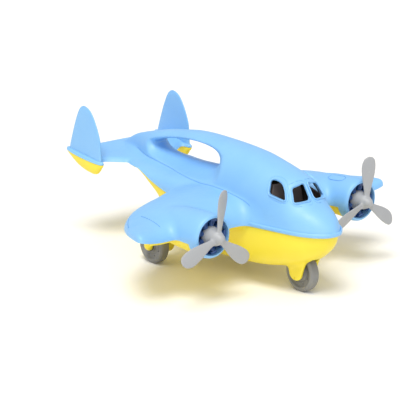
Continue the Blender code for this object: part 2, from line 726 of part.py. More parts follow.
def revolved(name, loop, centre, segments):
    """A ring about an axis along X, from a closed loop of (distance along X, radius)."""
    vertices = []
    for i in range(segments):
        angle = 2 * math.pi * i / segments
        for along, radius in loop:
            x, y, z = centre
            vertices.append((x + along, y + radius * math.cos(angle), z + radius * math.sin(angle)))
    count = len(loop)
    faces = []
    for i in range(segments):
        for k in range(count):
            a, b = i * count, ((i + 1) % segments) * count
            j = (k + 1) % count
            faces.append([a + k, a + j, b + j, b + k])
    return mesh_object(name, vertices, faces)


def build_wheel(name, centre, material):
    half = WHEEL_WIDTH / 2
    outer = [(half, AXLE_R + AXLE_CLEARANCE), (half, 6.4), (half - 2.2, 7.2), (half - 2.2, 13.4),
             (half, 14.8), (half - 0.9, 17.5), (half - 1.9, WHEEL_R)]
    loop = outer + [(-x, r) for x, r in outer[::-1]]
    wheel = revolved("wheel", loop, centre, WHEEL_SEGMENTS)
    finish(wheel, name, material, 40)
    return put_origin(wheel, centre)


def build_nose_axle(material):
    reach = WELL_HALF_WIDTH + LUG_THICKNESS - 0.2
    axle = rod("axle", (NOSE_WHEEL_Y, WHEEL_R), -reach, reach, AXLE_R)
    return finish(axle, "nose_axle", material)


def build_rear_pin(side, material):
    """A headed pin that snaps into the hull's lug and holds the wheel on."""
    sign = side_of(side)
    outboard = REAR_WHEEL_X + WHEEL_WIDTH / 2
    profile = [
        (REAR_LUG_INNER_X - 0.5, AXLE_R - 0.8), (REAR_LUG_INNER_X + 0.5, AXLE_R),
        (outboard + 0.5, AXLE_R), (outboard + 0.6, 5.2), (outboard + 3.0, 5.0),
        (outboard + 4.6, 3.9), (outboard + 5.5, 1.6),
    ]
    profile = [(sign * x, r) for x, r in profile]
    pin = turned("pin", profile, (0, REAR_WHEEL_Y, WHEEL_R), "x", 16)
    return finish(pin, f"rear_axle_pin_{side}", material, 40)


def build_hinge_pin(material):
    pin = rod("pin", (RAMP_HINGE_Y, RAMP_HINGE_Z), -34.8, 34.8, RAMP_PIN_R, 12)
    return finish(pin, "ramp_hinge_pin", material)


# ---------------------------------------------------------------- engines and propellers

def build_engine(side, material):
    """A radial engine: a disc with cylinders round its edge, and a hole for the shaft."""
    centre = (side_of(side) * ENGINE_X, 0, ENGINE_Z)
    radius = RECESS_R - GAP
    disc = turned(
        "disc", [(ENGINE_DISC_Y, radius), (RECESS_BACK_Y - GAP, radius)], centre, "y", 28, 0.5
    )
    cylinders = []
    for i in range(CYLINDER_COUNT):
        angle = 2 * math.pi * i / CYLINDER_COUNT
        outline = []
        for k in range(6):
            turn = 2 * math.pi * (k + 0.5) / 6
            reach = CYLINDER_REACH + CYLINDER_HALF_LENGTH * math.cos(turn)
            swing = CYLINDER_HALF_WIDTH * math.sin(turn)
            c, s = math.cos(angle), math.sin(angle)
            outline.append((centre[0] + reach * c - swing * s, ENGINE_Z + reach * s + swing * c))
        front = ENGINE_DISC_Y - CYLINDER_HEIGHT
        cylinders.append(prism("cylinder", outline, "y", front, ENGINE_DISC_Y + 1))
    join(disc, cylinders)
    bore = PROP_PIN_R + AXLE_CLEARANCE
    cut(disc, [turned("bore", [(-110, bore), (-80, bore)], centre, "y", 16)])
    return finish(disc, f"engine_{side}", material)


BLADE_SECTIONS = (  # distance from the hub's axis, chord, thickness, lead of the chord's middle
    (4.0, 6.4, 3.4, 0.0), (9.0, 6.8, 3.2, 0.0), (15.0, 9.0, 2.8, 0.2), (22.0, 12.2, 2.5, 0.5),
    (29.0, 14.6, 2.3, 0.8), (35.5, 15.2, 2.1, 1.0), (40.2, 13.4, 1.9, 0.9), (43.2, 9.4, 1.7, 0.6),
    (44.7, 4.0, 1.4, 0.3),
)


def blade(name, centre, turn, pitch):
    """One paddle blade: a flattened section that widens outward, pitched about its own length."""
    rings = []
    pitch_c, pitch_s = math.cos(pitch), math.sin(pitch)
    c, s = math.cos(turn), math.sin(turn)
    for reach, chord, thick, lead in BLADE_SECTIONS:
        ring = []
        for i in range(10):
            angle = 2 * math.pi * i / 10
            u = lead + chord / 2 * math.cos(angle)
            w = thick / 2 * math.sin(angle)
            across, along = u * pitch_c - w * pitch_s, u * pitch_s + w * pitch_c
            x = centre[0] + reach * c - across * s
            z = centre[2] + reach * s + across * c
            ring.append((x, BLADE_Y + along, z))
        rings.append(ring)
    return loft(name, rings)


def build_propeller(side, material):
    centre = (side_of(side) * ENGINE_X, 0, ENGINE_Z)
    profile = [
        (SPINNER_BACK_Y, SPINNER_R), (-103.0, SPINNER_R), (-108.0, 8.6), (-113.5, 6.9),
        (-118.0, 4.8), (-120.2, 2.9), (SPINNER_FRONT_Y, 1.2),
    ]
    spinner = turned("spinner", profile, centre, "y", 24)
    start = PROP_PHASE[side]
    pitch = PROP_HAND[side] * BLADE_PITCH
    blades = [blade("blade", centre, start + 2 * math.pi * i / 3, pitch) for i in range(3)]
    join(spinner, blades)
    socket = turned("socket", [(-96, PROP_PIN_R + GAP), (-112, PROP_PIN_R + GAP)], centre, "y", 16)
    cut(spinner, [socket])
    finish(spinner, f"propeller_{side}", material, 40)
    return put_origin(spinner, (centre[0], BLADE_Y, ENGINE_Z))


def build_shaft(side, material):
    centre = (side_of(side) * ENGINE_X, 0, ENGINE_Z)
    profile = [(SHAFT_FRONT_Y, PROP_PIN_R), (SHAFT_BACK_Y, PROP_PIN_R)]
    shaft = turned("shaft", profile, centre, "y", 16)
    finish(shaft, f"propeller_shaft_{side}", material)
    return put_origin(shaft, (centre[0], BLADE_Y, ENGINE_Z))


def build_retainer(side, material):
    """A push-on washer that holds the propeller shaft behind the engine bulkhead."""
    centre = (side_of(side) * ENGINE_X, 0, ENGINE_Z)
    front = BULKHEAD_BACK_Y + 0.6
    profile = [(front, RETAINER_R), (front + RETAINER_THICKNESS, RETAINER_R)]
    washer = turned("washer", profile, centre, "y", 20)
    hole = [(front - 5, PROP_PIN_R + GAP), (front + 10, PROP_PIN_R + GAP)]
    bore = turned("bore", hole, centre, "y", 16)
    cut(washer, [bore])
    finish(washer, f"propeller_retainer_{side}", material)
    return put_origin(washer, (centre[0], BLADE_Y, ENGINE_Z))


def build():
    clear_scene()
    blue = make_material("shell_blue", BLUE, 0.42)
    yellow = make_material("hull_yellow", YELLOW, 0.42)
    grey = make_material("wheel_grey", GREY, 0.5)
    navy = make_material("engine_navy", NAVY, 0.45)

    build_upper_shell(blue)
    build_hull(yellow)
    build_tail_underside(yellow)
    build_ramp(yellow)
    build_hinge_pin(yellow)
    build_wheel("nose_wheel", (0, NOSE_WHEEL_Y, WHEEL_R), grey)
    build_nose_axle(grey)
    for side in ("left", "right"):
        build_fin(side, blue)
        build_engine(side, navy)
        build_propeller(side, grey)
        build_shaft(side, grey)
        build_retainer(side, grey)
        build_wheel(f"rear_wheel_{side}", (side_of(side) * REAR_WHEEL_X, REAR_WHEEL_Y, WHEEL_R), grey)
        build_rear_pin(side, yellow)


build()
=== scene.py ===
"""Looks of the toy cargo airplane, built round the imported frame: +Z up, nose along -Y.

Shapes are worked out in millimetres and turned into metres where a mesh is made. The two
big mouldings are joined from smooth lofts, remeshed, and softened so that the places where
wing, cowl, cabin and tail meet become the large fillets of a moulded toy. Openings, panel
lines and the seam are cut afterwards, so they stay crisp.
"""

import json
import math

import bmesh
import bpy
import numpy as np
from mathutils import Matrix, Vector
from mathutils.bvhtree import BVHTree

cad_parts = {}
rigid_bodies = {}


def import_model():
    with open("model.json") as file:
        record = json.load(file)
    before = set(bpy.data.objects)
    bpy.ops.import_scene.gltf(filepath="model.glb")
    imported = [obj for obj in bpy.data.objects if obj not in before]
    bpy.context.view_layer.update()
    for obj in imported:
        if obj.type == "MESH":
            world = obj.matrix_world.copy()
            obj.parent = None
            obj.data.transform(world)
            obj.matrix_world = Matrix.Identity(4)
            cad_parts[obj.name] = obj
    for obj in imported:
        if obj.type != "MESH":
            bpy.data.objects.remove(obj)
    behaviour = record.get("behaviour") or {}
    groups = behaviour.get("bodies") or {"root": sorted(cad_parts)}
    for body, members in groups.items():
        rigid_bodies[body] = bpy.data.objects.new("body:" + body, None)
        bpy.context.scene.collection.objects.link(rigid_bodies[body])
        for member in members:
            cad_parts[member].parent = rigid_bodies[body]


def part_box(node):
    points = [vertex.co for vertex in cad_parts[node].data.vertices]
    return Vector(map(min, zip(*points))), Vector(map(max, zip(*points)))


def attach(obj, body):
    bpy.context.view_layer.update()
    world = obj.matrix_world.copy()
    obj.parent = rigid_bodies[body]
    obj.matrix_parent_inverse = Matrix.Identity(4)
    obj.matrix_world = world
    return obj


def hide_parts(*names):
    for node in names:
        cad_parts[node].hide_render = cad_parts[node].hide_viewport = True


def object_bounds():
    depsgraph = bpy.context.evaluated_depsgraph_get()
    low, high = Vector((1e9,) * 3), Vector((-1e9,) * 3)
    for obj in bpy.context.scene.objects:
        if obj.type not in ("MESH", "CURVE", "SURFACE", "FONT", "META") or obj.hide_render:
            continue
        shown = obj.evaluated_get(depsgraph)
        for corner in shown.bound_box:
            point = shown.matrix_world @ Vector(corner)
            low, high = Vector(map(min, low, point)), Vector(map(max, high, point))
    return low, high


for leftover in list(bpy.data.objects):
    bpy.data.objects.remove(leftover)
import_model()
cad_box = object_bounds()

MM = 0.001
GAP = 0.3
WALL = 2.6
VOXEL = 1.0
FINE_VOXEL = 0.5
SKIRT = 8.0


def node_box(name):
    """A CAD node's lowest and highest corners, in millimetres."""
    low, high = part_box(name)
    return low / MM, high / MM


def node_centre(name):
    low, high = node_box(name)
    return (low + high) / 2


# Places and sizes read from the frame.
NOSE_Y = cad_box[0][1] / MM
TAIL_Y = cad_box[1][1] / MM
NOSE_WHEEL = node_centre("nose_wheel")
REAR_WHEEL = node_centre("rear_wheel_left")
WHEEL_LOW, WHEEL_HIGH = node_box("nose_wheel")
WHEEL_R = (WHEEL_HIGH.z - WHEEL_LOW.z) / 2
WHEEL_HALF = (WHEEL_HIGH.x - WHEEL_LOW.x) / 2
ENGINE = node_centre("engine_left")
HUB = (ENGINE.x, 0, ENGINE.z)
ENGINE_LOW, ENGINE_HIGH = node_box("engine_left")
ENGINE_R = (ENGINE_HIGH.x - ENGINE_LOW.x) / 2
SHAFT_LOW, SHAFT_HIGH = node_box("propeller_shaft_left")
PROP_PIN_R = (SHAFT_HIGH.x - SHAFT_LOW.x) / 2
SPINNER_FRONT_Y = node_box("propeller_left")[0].y
SPINNER_BACK_Y = node_box("propeller_left")[1].y
FIN_X = node_centre("tail_fin_left").x
RAMP_PIN_LOW, RAMP_PIN_HIGH = node_box("ramp_hinge_pin")
RAMP_HINGE = (RAMP_PIN_LOW + RAMP_PIN_HIGH) / 2
RAMP_PIN_R = (RAMP_PIN_HIGH.z - RAMP_PIN_LOW.z) / 2
RAMP_HALF_WIDTH = node_box("cargo_ramp")[1].x + GAP

# Running gear.
AXLE_R = 3.0
WELL_HALF_WIDTH = WHEEL_HALF + 1.0
WELL_HALF_LENGTH = WHEEL_R + 1.5
WELL_TOP = 2 * WHEEL_R + 2.0
WELL_WALL = 2.2
LUG_THICKNESS = 4.0
# Bearing cheeks: half-length at the top and at the foot, lowest and highest level, lean.
NOSE_LUG = (14.0, 8.2, 11.5, 34.0)
REAR_LUG = (9.5, 9.2, 8.5, 44.0, 8.0)
REAR_LUG_X = (35.0, 46.6)
AXLE_HOLE_LENGTH = 3.0
REAR_HOLE_X = (30.0, 50.0)
NOSE_SLOT_Z = (12.6, 15.2)
PIN_HEAD_R = 5.2
SPOKE_PITS = 8
PIT_CIRCLE_R = 11.2
PIT_R = 0.75

# Engines and propellers.
COWL_FRONT_Y = -107.5
COWL_BACK_Y = -96.0
COWL_R = 19.9
RECESS_R = 17.6
CYLINDER_HEIGHT = 5.4
CYLINDER_R = 2.9
RECESS_BACK_Y = ENGINE_HIGH.y + GAP
BULKHEAD_BACK_Y = -87.0
BLUE_TAPER = ((-70.0, 19.4), (-50.0, 16.2), (-30.0, 11.0), (-12.0, 4.0))
YELLOW_TAPER = ((-62.0, 18.9), (-45.0, 17.4), (-28.0, 13.4), (-12.0, 7.0))
BLADE_Y = -113.5
BLADE_PITCH = math.radians(17)
PROP_PHASE = {"right": math.radians(80), "left": math.radians(84)}
PROP_HAND = {"right": -1, "left": 1}
CYLINDER_COUNT = 9

# Tail, bay and ramp.
FIN_THICKNESS = 4.0
POD_HALF_WIDTH = 6.0
POD_HEIGHT = 3.2
POD_FRONT_Y = 107.5
FLOOR_Z = 19.0
PAD_TOP_Z = 21.2
HULL_END_Y = 86.0
RAMP_SWING_GAP = 2.6
RAMP_BARREL_R = 3.6
HINGE_HOLE_X = (-35.2, 35.2)
RAMP_WEB_Z = (17.0, 19.0)
RAMP_WEB_BACK_Y = 15.5
HINGE_EAR = (5.0, 17.5, 24.5)  # half-length, lowest and highest level
PAD_LOW = (-15.0, -62.0, FLOOR_Z - 0.6)
PAD_HIGH = (15.0, 3.0, PAD_TOP_Z)
TAIL_END_Y = 160.5
TAIL_PLATE = 1.2
LIP_OVERHANG = 2.4

# Smoothing passes: rounds, filling rate of hollows, wearing rate of corners.
SHELL_FINISH = ((6, 0.5, 0.5), (170, 0.5, 0.035))
HULL_FINISH = ((4, 0.5, 0.5), (60, 0.45, 0.02))
PROPELLER_FINISH = ((3, 0.4, 0.4), (40, 0.5, 0.0))

# Beads and grooves on the blue moulding: half-width, half-height.
LIP_BEAD = (2.0, 0.9)
RIM_BEAD = (0.75, 1.5)
RIM_GROOVE = (0.3, 0.35)
CREASE_GROOVE = (0.45, 0.7)
CHORD_GROOVE = (0.4, 0.7)
DEEP_GROOVE = (0.45, 0.9)

# Cabin furniture.
SEAT_X = 10.5
SEAT_HALF_WIDTH = 8.0
SEAT_HALF_THICKNESS = 1.8
SEAT_Z = (66.0, 100.0)
SEAT_FRONT_Y = -106.0
SEAT_RAKE = 7.0
PANEL_X = (-15.0, 15.0)
PANEL_OUTLINE = ((-142.0, 66.0), (-128.0, 66.0), (-128.0, 84.0), (-136.0, 86.0))

# Lights, floor and the camera fitted to the photo, in metres.
SUN_DIRECTION = (0.38, 0.26, -1.0)
SUN_POWER = 2.1
WORLD_STRENGTH = 0.62
FLOOR_REACH = 6.0
CAMERA_PLACE = (-1.0897, -1.2940, 0.5452)
CAMERA_TARGET = (0.0, 0.02456, 0.05466)
CAMERA_LENS = 162.0

# Stations along the fuselage: (y, value).
OUTLINE = (  # half-width of the body at the seam
    (-168.5, 0.4), (-167.5, 6.0), (-165.5, 10.0), (-162.5, 13.5), (-158.5, 17.5), (-152.0, 21.5),
    (-146.5, 24.5), (-135.0, 28.0), (-119.5, 31.5), (-92.5, 37.0), (-70.0, 39.5), (-45.0, 41.0),
    (25.0, 41.0), (53.0, 39.5), (69.0, 37.5), (82.0, 35.5), (92.0, 33.0), (105.0, 28.0),
    (125.0, 18.0), (145.0, 9.0), (162.0, 5.0),
)
SEAM = (  # height of the seam between blue and yellow
    (-168.5, 62.0), (-60.0, 62.0), (0.0, 64.5), (25.0, 69.0), (37.0, 71.5), (53.0, 75.5),
    (69.0, 80.0), (80.0, 82.2), (90.0, 82.0), (98.0, 82.0), (101.0, 82.3), (162.5, 88.4),
)
SHOULDER = (  # top of the shoulder moulding: a low band round the nose, then the wing root
    (-168.5, 66.0), (-106.0, 66.2), (-96.0, 74.5), (-84.0, 86.0), (-68.0, 89.5), (0.0, 89.5),
    (25.0, 88.2), (42.0, 87.8), (60.0, 88.6), (91.0, 90.5), (113.0, 93.0), (127.0, 94.5),
    (142.0, 92.5), (162.0, 89.5),
)
SPINE_WIDTH = (  # half-width of the raised back and cabin
    (-167.5, 0.4), (-166.3, 5.0), (-164.3, 8.6), (-161.3, 12.2), (-157.3, 16.3), (-151.0, 20.3),
    (-145.5, 23.2), (-135.0, 26.8), (-119.5, 30.2), (-105.0, 32.0), (-90.0, 33.0), (-45.0, 33.0),
    (0.0, 30.5), (25.0, 26.5), (45.0, 21.5), (68.0, 18.5), (86.0, 16.5), (113.0, 9.5),
    (127.0, 6.5), (147.0, 3.0),
)
SPINE_TOP = (  # height of the back on the centre line, with the windscreen at y = -127 to -137
    (-167.5, 66.6), (-166.5, 69.5), (-163.0, 74.0), (-157.0, 79.0), (-149.0, 84.0), (-141.0, 88.0),
    (-136.5, 91.0), (-131.5, 98.5), (-127.0, 104.5), (-122.0, 108.5), (-112.0, 111.7),
    (-92.0, 116.2), (-78.0, 119.4), (-64.0, 122.0), (-28.0, 124.6), (10.0, 125.5), (30.0, 124.6),
    (45.0, 122.4), (69.0, 118.4), (97.0, 111.8), (113.0, 107.5), (124.0, 104.0), (133.0, 99.5),
    (147.0, 92.0),
)
KEEL = (  # lowest line of the hull; it sweeps up behind the rear wheels
    (-168.0, 60.5), (-166.5, 53.0), (-161.5, 46.0), (-151.5, 38.0), (-144.5, 33.5), (-127.5, 27.0),
    (-117.5, 24.5), (-100.0, 21.0), (-82.0, 19.0), (-58.0, 17.3), (-30.0, 16.3), (16.0, 16.0),
    (21.0, 18.0), (27.0, 26.0), (34.0, 39.0), (41.0, 51.0), (49.0, 60.0), (60.0, 67.5),
    (72.0, 75.2), (86.0, 81.0),
)
LEADING_EDGE = (
    (30.0, -91.0), (43.0, -87.0), (56.0, -85.0), (72.0, -84.5), (93.0, -81.5), (112.0, -77.8),
    (130.0, -77.8), (146.0, -79.0), (151.0, -78.9), (153.2, -77.6), (154.0, -75.0),
)
TRAILING_EDGE = (
    (30.0, 25.0), (45.0, 20.5), (73.0, 11.5), (95.0, 3.5), (108.0, -2.7), (120.0, -12.0),
    (132.0, -25.0), (141.0, -38.5), (147.0, -50.0), (151.0, -61.0), (153.2, -69.0), (154.0, -73.6),
)
WING_HEIGHT = (
    (30.0, 24.5), (60.0, 23.5), (80.0, 21.8), (93.0, 19.6), (107.0, 16.2), (120.0, 12.2),
    (140.0, 8.6), (150.0, 6.2), (154.0, 4.0),
)
KEEL_DEPTH = (
    (107.5, 0.8), (111.0, 4.5), (114.0, 8.5), (118.0, 11.8), (123.0, 13.0), (132.0, 12.8),
    (145.0, 10.6), (153.0, 7.6), (161.0, 3.8), (168.5, 0.8),
)
FIN_FOOT = 90.0
FIN_TIP = 138.2
FIN_FRONT = (
    (86.0, 110.5), (105.0, 112.0), (117.7, 116.5), (126.0, 121.0), (131.6, 125.0),
    (135.4, 129.0), (137.4, 133.0), (138.2, 136.5),
)
FIN_BACK = (
    (86.0, 164.6), (91.0, 163.5), (99.0, 161.0), (119.0, 153.5), (126.0, 150.3), (131.5, 147.4),
    (135.4, 144.4), (137.4, 141.5), (138.2, 139.0),
)
GRIP_HOLE = (  # the hand hole in side view: blunt in front, pointed behind
    (-19.5, 105.5), (-17.8, 109.6), (-13.0, 113.2), (-5.0, 115.6), (8.0, 117.0), (25.0, 117.0),
    (45.0, 115.0), (64.0, 111.6), (80.0, 107.4), (90.0, 103.4), (87.0, 100.4), (78.0, 97.8),
    (60.0, 95.6), (35.0, 94.6), (10.0, 95.2), (-6.0, 97.2), (-15.5, 100.6),
)
HANDLE_HALF_WIDTH = 8.0
SCOOP_DEPTH = 8.0
SCOOP_REACH = 17.0
# One half of the windscreen (x, z) and the side window (y, z).
SCREEN_OUTLINE = ((2.2, 104.4), (15.2, 101.6), (18.8, 89.4), (2.6, 90.8))
SIDE_WINDOW_OUTLINE = (
    (-103.6, 106.2), (-110.5, 106.0), (-117.0, 103.6), (-122.4, 98.6), (-126.2, 91.2),
    (-108.0, 94.4),
)
WINDOW_CORNER = 2.6
SIDE_WINDOW_WAY = (-0.77, 0.62, -0.16)
WINDOW_CUT = (-5.0, 9.0)  # how far outside and inside the skin a window is cut
RIM_OFFSET = 0.7
RIM_GROOVE_OFFSET = 3.0
CABIN_WALL = 1.5
BLADE_SECTIONS = (  # distance from the hub's axis, chord, thickness, lead of the chord's middle
    (4.0, 6.4, 3.4, 0.0), (9.0, 6.8, 3.2, 0.0), (15.0, 9.0, 2.8, 0.2), (22.0, 12.2, 2.5, 0.5),
    (29.0, 14.6, 2.3, 0.8), (35.5, 15.2, 2.1, 1.0), (40.2, 13.4, 1.9, 0.9), (43.2, 9.4, 1.7, 0.6),
    (44.7, 4.0, 1.4, 0.3),
)


# ---- numbers

def curve(table, at):
    """The value of a station table at a point, on a smooth curve that never overshoots."""
    if at <= table[0][0]:
        return table[0][1]
    if at >= table[-1][0]:
        return table[-1][1]
    steps = [b[0] - a[0] for a, b in zip(table, table[1:])]
    slopes = [(b[1] - a[1]) / h for a, b, h in zip(table, table[1:], steps)]
    tangents = [slopes[0]]
    for before, after in zip(slopes, slopes[1:]):
        tangents.append(0.0 if before * after <= 0 else 2 * before * after / (before + after))
    tangents.append(slopes[-1])
    i = max(k for k, point in enumerate(table[:-1]) if point[0] <= at)
    h = steps[i]
    t = (at - table[i][0]) / h
    return (
        table[i][1] * (1 + 2 * t) * (1 - t) ** 2
        + tangents[i] * h * t * (1 - t) ** 2
        + table[i + 1][1] * t * t * (3 - 2 * t)
        + tangents[i + 1] * h * t * t * (t - 1)
    )


def clamp(value):
    return min(max(value, 0.0), 1.0)


def ease(value):
    t = clamp(value)
    return t * t * (3 - 2 * t)


def spread(start, end, count):
    return [start + (end - start) * i / (count - 1) for i in range(count)]


def crowd(start, end, count, power=2.0):
    """Values from start to end that crowd together towards the start."""
    return [start + (end - start) * (i / (count - 1)) ** power for i in range(count)]


def circle(count, phase=0.0):
    """Cosine and sine of evenly spaced angles; the first lies phase steps round."""
    angles = [2 * math.pi * (i + phase) / count for i in range(count)]
    return [(math.cos(angle), math.sin(angle)) for angle in angles]


def bulge(value, power):
    """A power of a value's size, with the value's sign."""
    return math.copysign(abs(value) ** power, value)


def corners_of(outline):
    """Each corner of a closed outline with its neighbours: (before, corner, after)."""
    outline = list(outline)
    return zip(outline[-1:] + outline[:-1], outline, outline[1:] + outline[:1])


def rounded(outline, radius, steps=6):
    """A closed plane outline with each corner replaced by a short curve."""
    out = []
    for before, corner, after in corners_of(outline):
        ends = []
        for other in (before, after):
            reach = min(radius / math.dist(corner, other), 0.5)
            ends.append([c + (o - c) * reach for c, o in zip(corner, other)])
        for t in spread(0.0, 1.0, steps):
            weights = ((1 - t) ** 2, 2 * t * (1 - t), t * t)
            places = zip(ends[0], corner, ends[1])
            out.append(tuple(sum(w * c for w, c in zip(weights, place)) for place in places))
    return out


def grown(outline, by):
    """A closed plane outline moved outward by a distance."""
    area = sum(a[0] * b[1] - b[0] * a[1] for _, a, b in corners_of(outline))
    sign = 1 if area > 0 else -1
    out = []
    for before, point, after in corners_of(outline):
        du, dv = after[0] - before[0], after[1] - before[1]
        size = math.hypot(du, dv)
        out.append((point[0] + sign * by * dv / size, point[1] - sign * by * du / size))
    return out


# ---- meshes

def add_object(name, data):
    obj = bpy.data.objects.new(name, data)
    bpy.context.scene.collection.objects.link(obj)
    return obj


def mesh_object(name, vertices, faces):
    mesh = bpy.data.meshes.new(name)
    mesh.from_pydata([[c * MM for c in v] for v in vertices], [], faces)
    work = bmesh.new()
    work.from_mesh(mesh)
    bmesh.ops.recalc_face_normals(work, faces=work.faces)
    work.to_mesh(mesh)
    work.free()
    return add_object(name, mesh)


def loft(name, rings, closed=False):
    """A closed solid through rings of equally many points; a closed loft runs back to its start."""
    count = len(rings[0])
    vertices = [point for ring in rings for point in ring]
    spans = len(rings) if closed else len(rings) - 1
    faces = []
    for r in range(spans):
        s = (r + 1) % len(rings)
        for i in range(count):
            j = (i + 1) % count
            faces.append([r * count + i, r * count + j, s * count + j, s * count + i])
    if not closed:
        faces.append(list(range(count))[::-1])
        faces.append([(len(rings) - 1) * count + i for i in range(count)])
    return mesh_object(name, vertices, faces)


def prism(name, outline, axis, low, high):
    place = {
        "x": lambda u, v, d: (d, u, v),
        "z": lambda u, v, d: (u, v, d),
    }[axis]
    return loft(name, [[place(u, v, d) for u, v in outline] for d in (low, high)])


def box(name, low, high):
    corners = [(low[0], low[1]), (high[0], low[1]), (high[0], high[1]), (low[0], high[1])]
    return prism(name, corners, "z", low[2], high[2])


def turned(name, profile, centre, axis, segments=64):
    """A solid of revolution: profile is (distance along the axis, radius), end to end."""
    rings = []
    x, y, z = centre
    for along, radius in profile:
        ring = []
        for c, s in circle(segments, 0.5):
            a, b = radius * c, radius * s
            ring.append((x + along, y + a, z + b) if axis == "x" else (x + a, y + along, z + b))
        rings.append(ring)
    return loft(name, rings)


def ring_of(name, loop, centre, segments=96):
    """A ring about an axis along X, from a closed loop of (distance along X, radius)."""
    x, y, z = centre
    rings = []
    for c, s in circle(segments):
        rings.append([(x + along, y + radius * c, z + radius * s) for along, radius in loop])
    return loft(name, rings, closed=True)


def evaluated(obj):
    """Replaces an object's mesh with what its modifiers make of it."""
    bpy.context.view_layer.update()
    graph = bpy.context.evaluated_depsgraph_get()
    mesh = bpy.data.meshes.new_from_object(obj.evaluated_get(graph))
    obj.modifiers.clear()
    obj.data = mesh


def combine(target, others, operation):
    for other in others:
        modifier = target.modifiers.new(operation, "BOOLEAN")
        modifier.operation = operation
        modifier.object = other
        modifier.solver = "MANIFOLD"
        evaluated(target)
        bpy.data.objects.remove(other)
    return target


def join(target, others):
    return combine(target, others, "UNION")


def cut(target, others):
    return combine(target, others, "DIFFERENCE")


def mirrored(obj):
    mesh = obj.data.copy()
    mesh.transform(Matrix.Scale(-1, 4, (1, 0, 0)))
    mesh.flip_normals()
    return add_object(obj.name + "_mirror", mesh)


def both(obj):
    return [obj, mirrored(obj)]


def soften(obj, rounds, fill, wear, keep=None):
    """Lets hollow corners fill up to fillets at one rate and outer corners wear at another.

    keep maps vertex positions in millimetres to factors of 0 to 1 that hold places back.
    """
    mesh = obj.data
    count = len(mesh.vertices)
    place = np.empty(count * 3)
    mesh.vertices.foreach_get("co", place)
    place = place.reshape(-1, 3)
    ends = np.empty(len(mesh.edges) * 2, dtype=np.int64)
    mesh.edges.foreach_get("vertices", ends)
    first, second = ends.reshape(-1, 2).T
    weight = 1.0 / np.maximum(np.bincount(ends, minlength=count), 1)
    loops = np.empty(len(mesh.loops), dtype=np.int64)
    mesh.loops.foreach_get("vertex_index", loops)
    corners = loops.reshape(-1, 4)
    factor = np.ones(count) if keep is None else keep(place / MM)
    for step in range(rounds):
        if step % 8 == 0:
            across = place[corners[:, 2]] - place[corners[:, 0]]
            other = place[corners[:, 3]] - place[corners[:, 1]]
            facing = np.cross(across, other)
            normal = np.empty_like(place)
            for axis in range(3):
                normal[:, axis] = np.bincount(
                    loops, np.repeat(facing[:, axis], 4), minlength=count
                )
            normal /= np.maximum(np.linalg.norm(normal, axis=1, keepdims=True), 1e-12)
        mean = np.empty_like(place)
        for axis in range(3):
            total = np.bincount(first, place[second, axis], minlength=count)
            total += np.bincount(second, place[first, axis], minlength=count)
            mean[:, axis] = total * weight
        move = mean - place
        outward = np.einsum("ij,ij->i", move, normal)
        rate = np.where(outward > 0, fill, wear) * factor
        place += move * rate[:, None]
    mesh.vertices.foreach_set("co", place.ravel())
    mesh.update()


def fuse(obj, finish, size=VOXEL, keep=None):
    """Makes one skin of joined solids and softens it: lightly all over, then into fillets."""
    modifier = obj.modifiers.new("remesh", "REMESH")
    modifier.mode = "VOXEL"
    modifier.voxel_size = size * MM
    evaluated(obj)
    soften(obj, *finish[0])
    soften(obj, *finish[1], keep)


def surface(obj):
    mesh = obj.data
    return BVHTree.FromPolygons([v.co for v in mesh.vertices], [p.vertices for p in mesh.polygons])


def cast(tree, points, direction):
    """Where points, moved far back, land on a surface: a list of (place, normal)."""
    direction = Vector(direction)
    path = []
    for point in points:
        hit, normal, _, _ = tree.ray_cast((Vector(point) - direction * 250) * MM, direction)
        if hit is not None:
            path.append((hit / MM, normal))
    return path


def bead(name, path, half_width, half_height, closed, sides=8):
    """A rounded strip that follows a path over a surface."""
    rings = []
    count = len(path)
    for i, (point, normal) in enumerate(path):
        before = path[i - 1][0] if closed or i else point
        after = path[(i + 1) % count][0] if closed or i < count - 1 else point
        along = (after - before).normalized()
        across = along.cross(normal).normalized()
        up = across.cross(along)
        rings.append([
            point + across * half_width * c + up * half_height * s for c, s in circle(sides)
        ])
    return loft(name, rings, closed)


def place_piece(obj, name, material, nodes=(), angle=38, body="airframe"):
    """Names and finishes a piece, and puts it on its body."""
    obj.name = name
    obj.data.name = name
    obj.data.materials.clear()
    obj.data.materials.append(material)
    obj.data.shade_smooth()
    obj.data.set_sharp_from_angle(angle=math.radians(angle))
    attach(obj, body)
    if nodes:
        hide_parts(*nodes)


def pin_profile(low, high, radius, bevel=0.5, run=0.5):
    """The profile of a plain pin or washer with bevelled ends."""
    small = radius - bevel
    return [(low, small), (low + run, radius), (high - run, radius), (high, small)]


def side_sign(side):
    return 1 if side == "left" else -1


def hub(side):
    return Vector((side_sign(side) * ENGINE.x, 0, ENGINE.z))


# ---- sections

def arch(y, half, base, top, power, count, drop=0.0):
    """Half a superellipse on a base line, drawn down by drop below it, closed underneath."""
    ring = []
    sign = 1 if top > base else -1
    for i in range(count):
        angle = math.pi * i / (count - 1)
        c, s = math.cos(angle), math.sin(angle)
        z = base + (top - base) * abs(s) ** (2 / power)
        ring.append((half * bulge(c, 2 / power), y, z))
    low = base - sign * drop
    if drop:
        ring.append((-half, y, low))
    ring += [(-half / 3, y, low), (half / 3, y, low)]
    if drop:
        ring.append((half, y, low))
    return ring


def shoulder_ring(y, inset=0.0, lower=0.0, skirt=0.0, count=45):
    base = curve(SEAM, y) - lower
    top = curve(SHOULDER, y) - inset
    half = max(curve(OUTLINE, y) - inset, 0.2)
    power = curve(((25.0, 3.2), (75.0, 1.5)), y)
    return arch(y, half, base, max(top, base + 0.5), power, count, skirt)


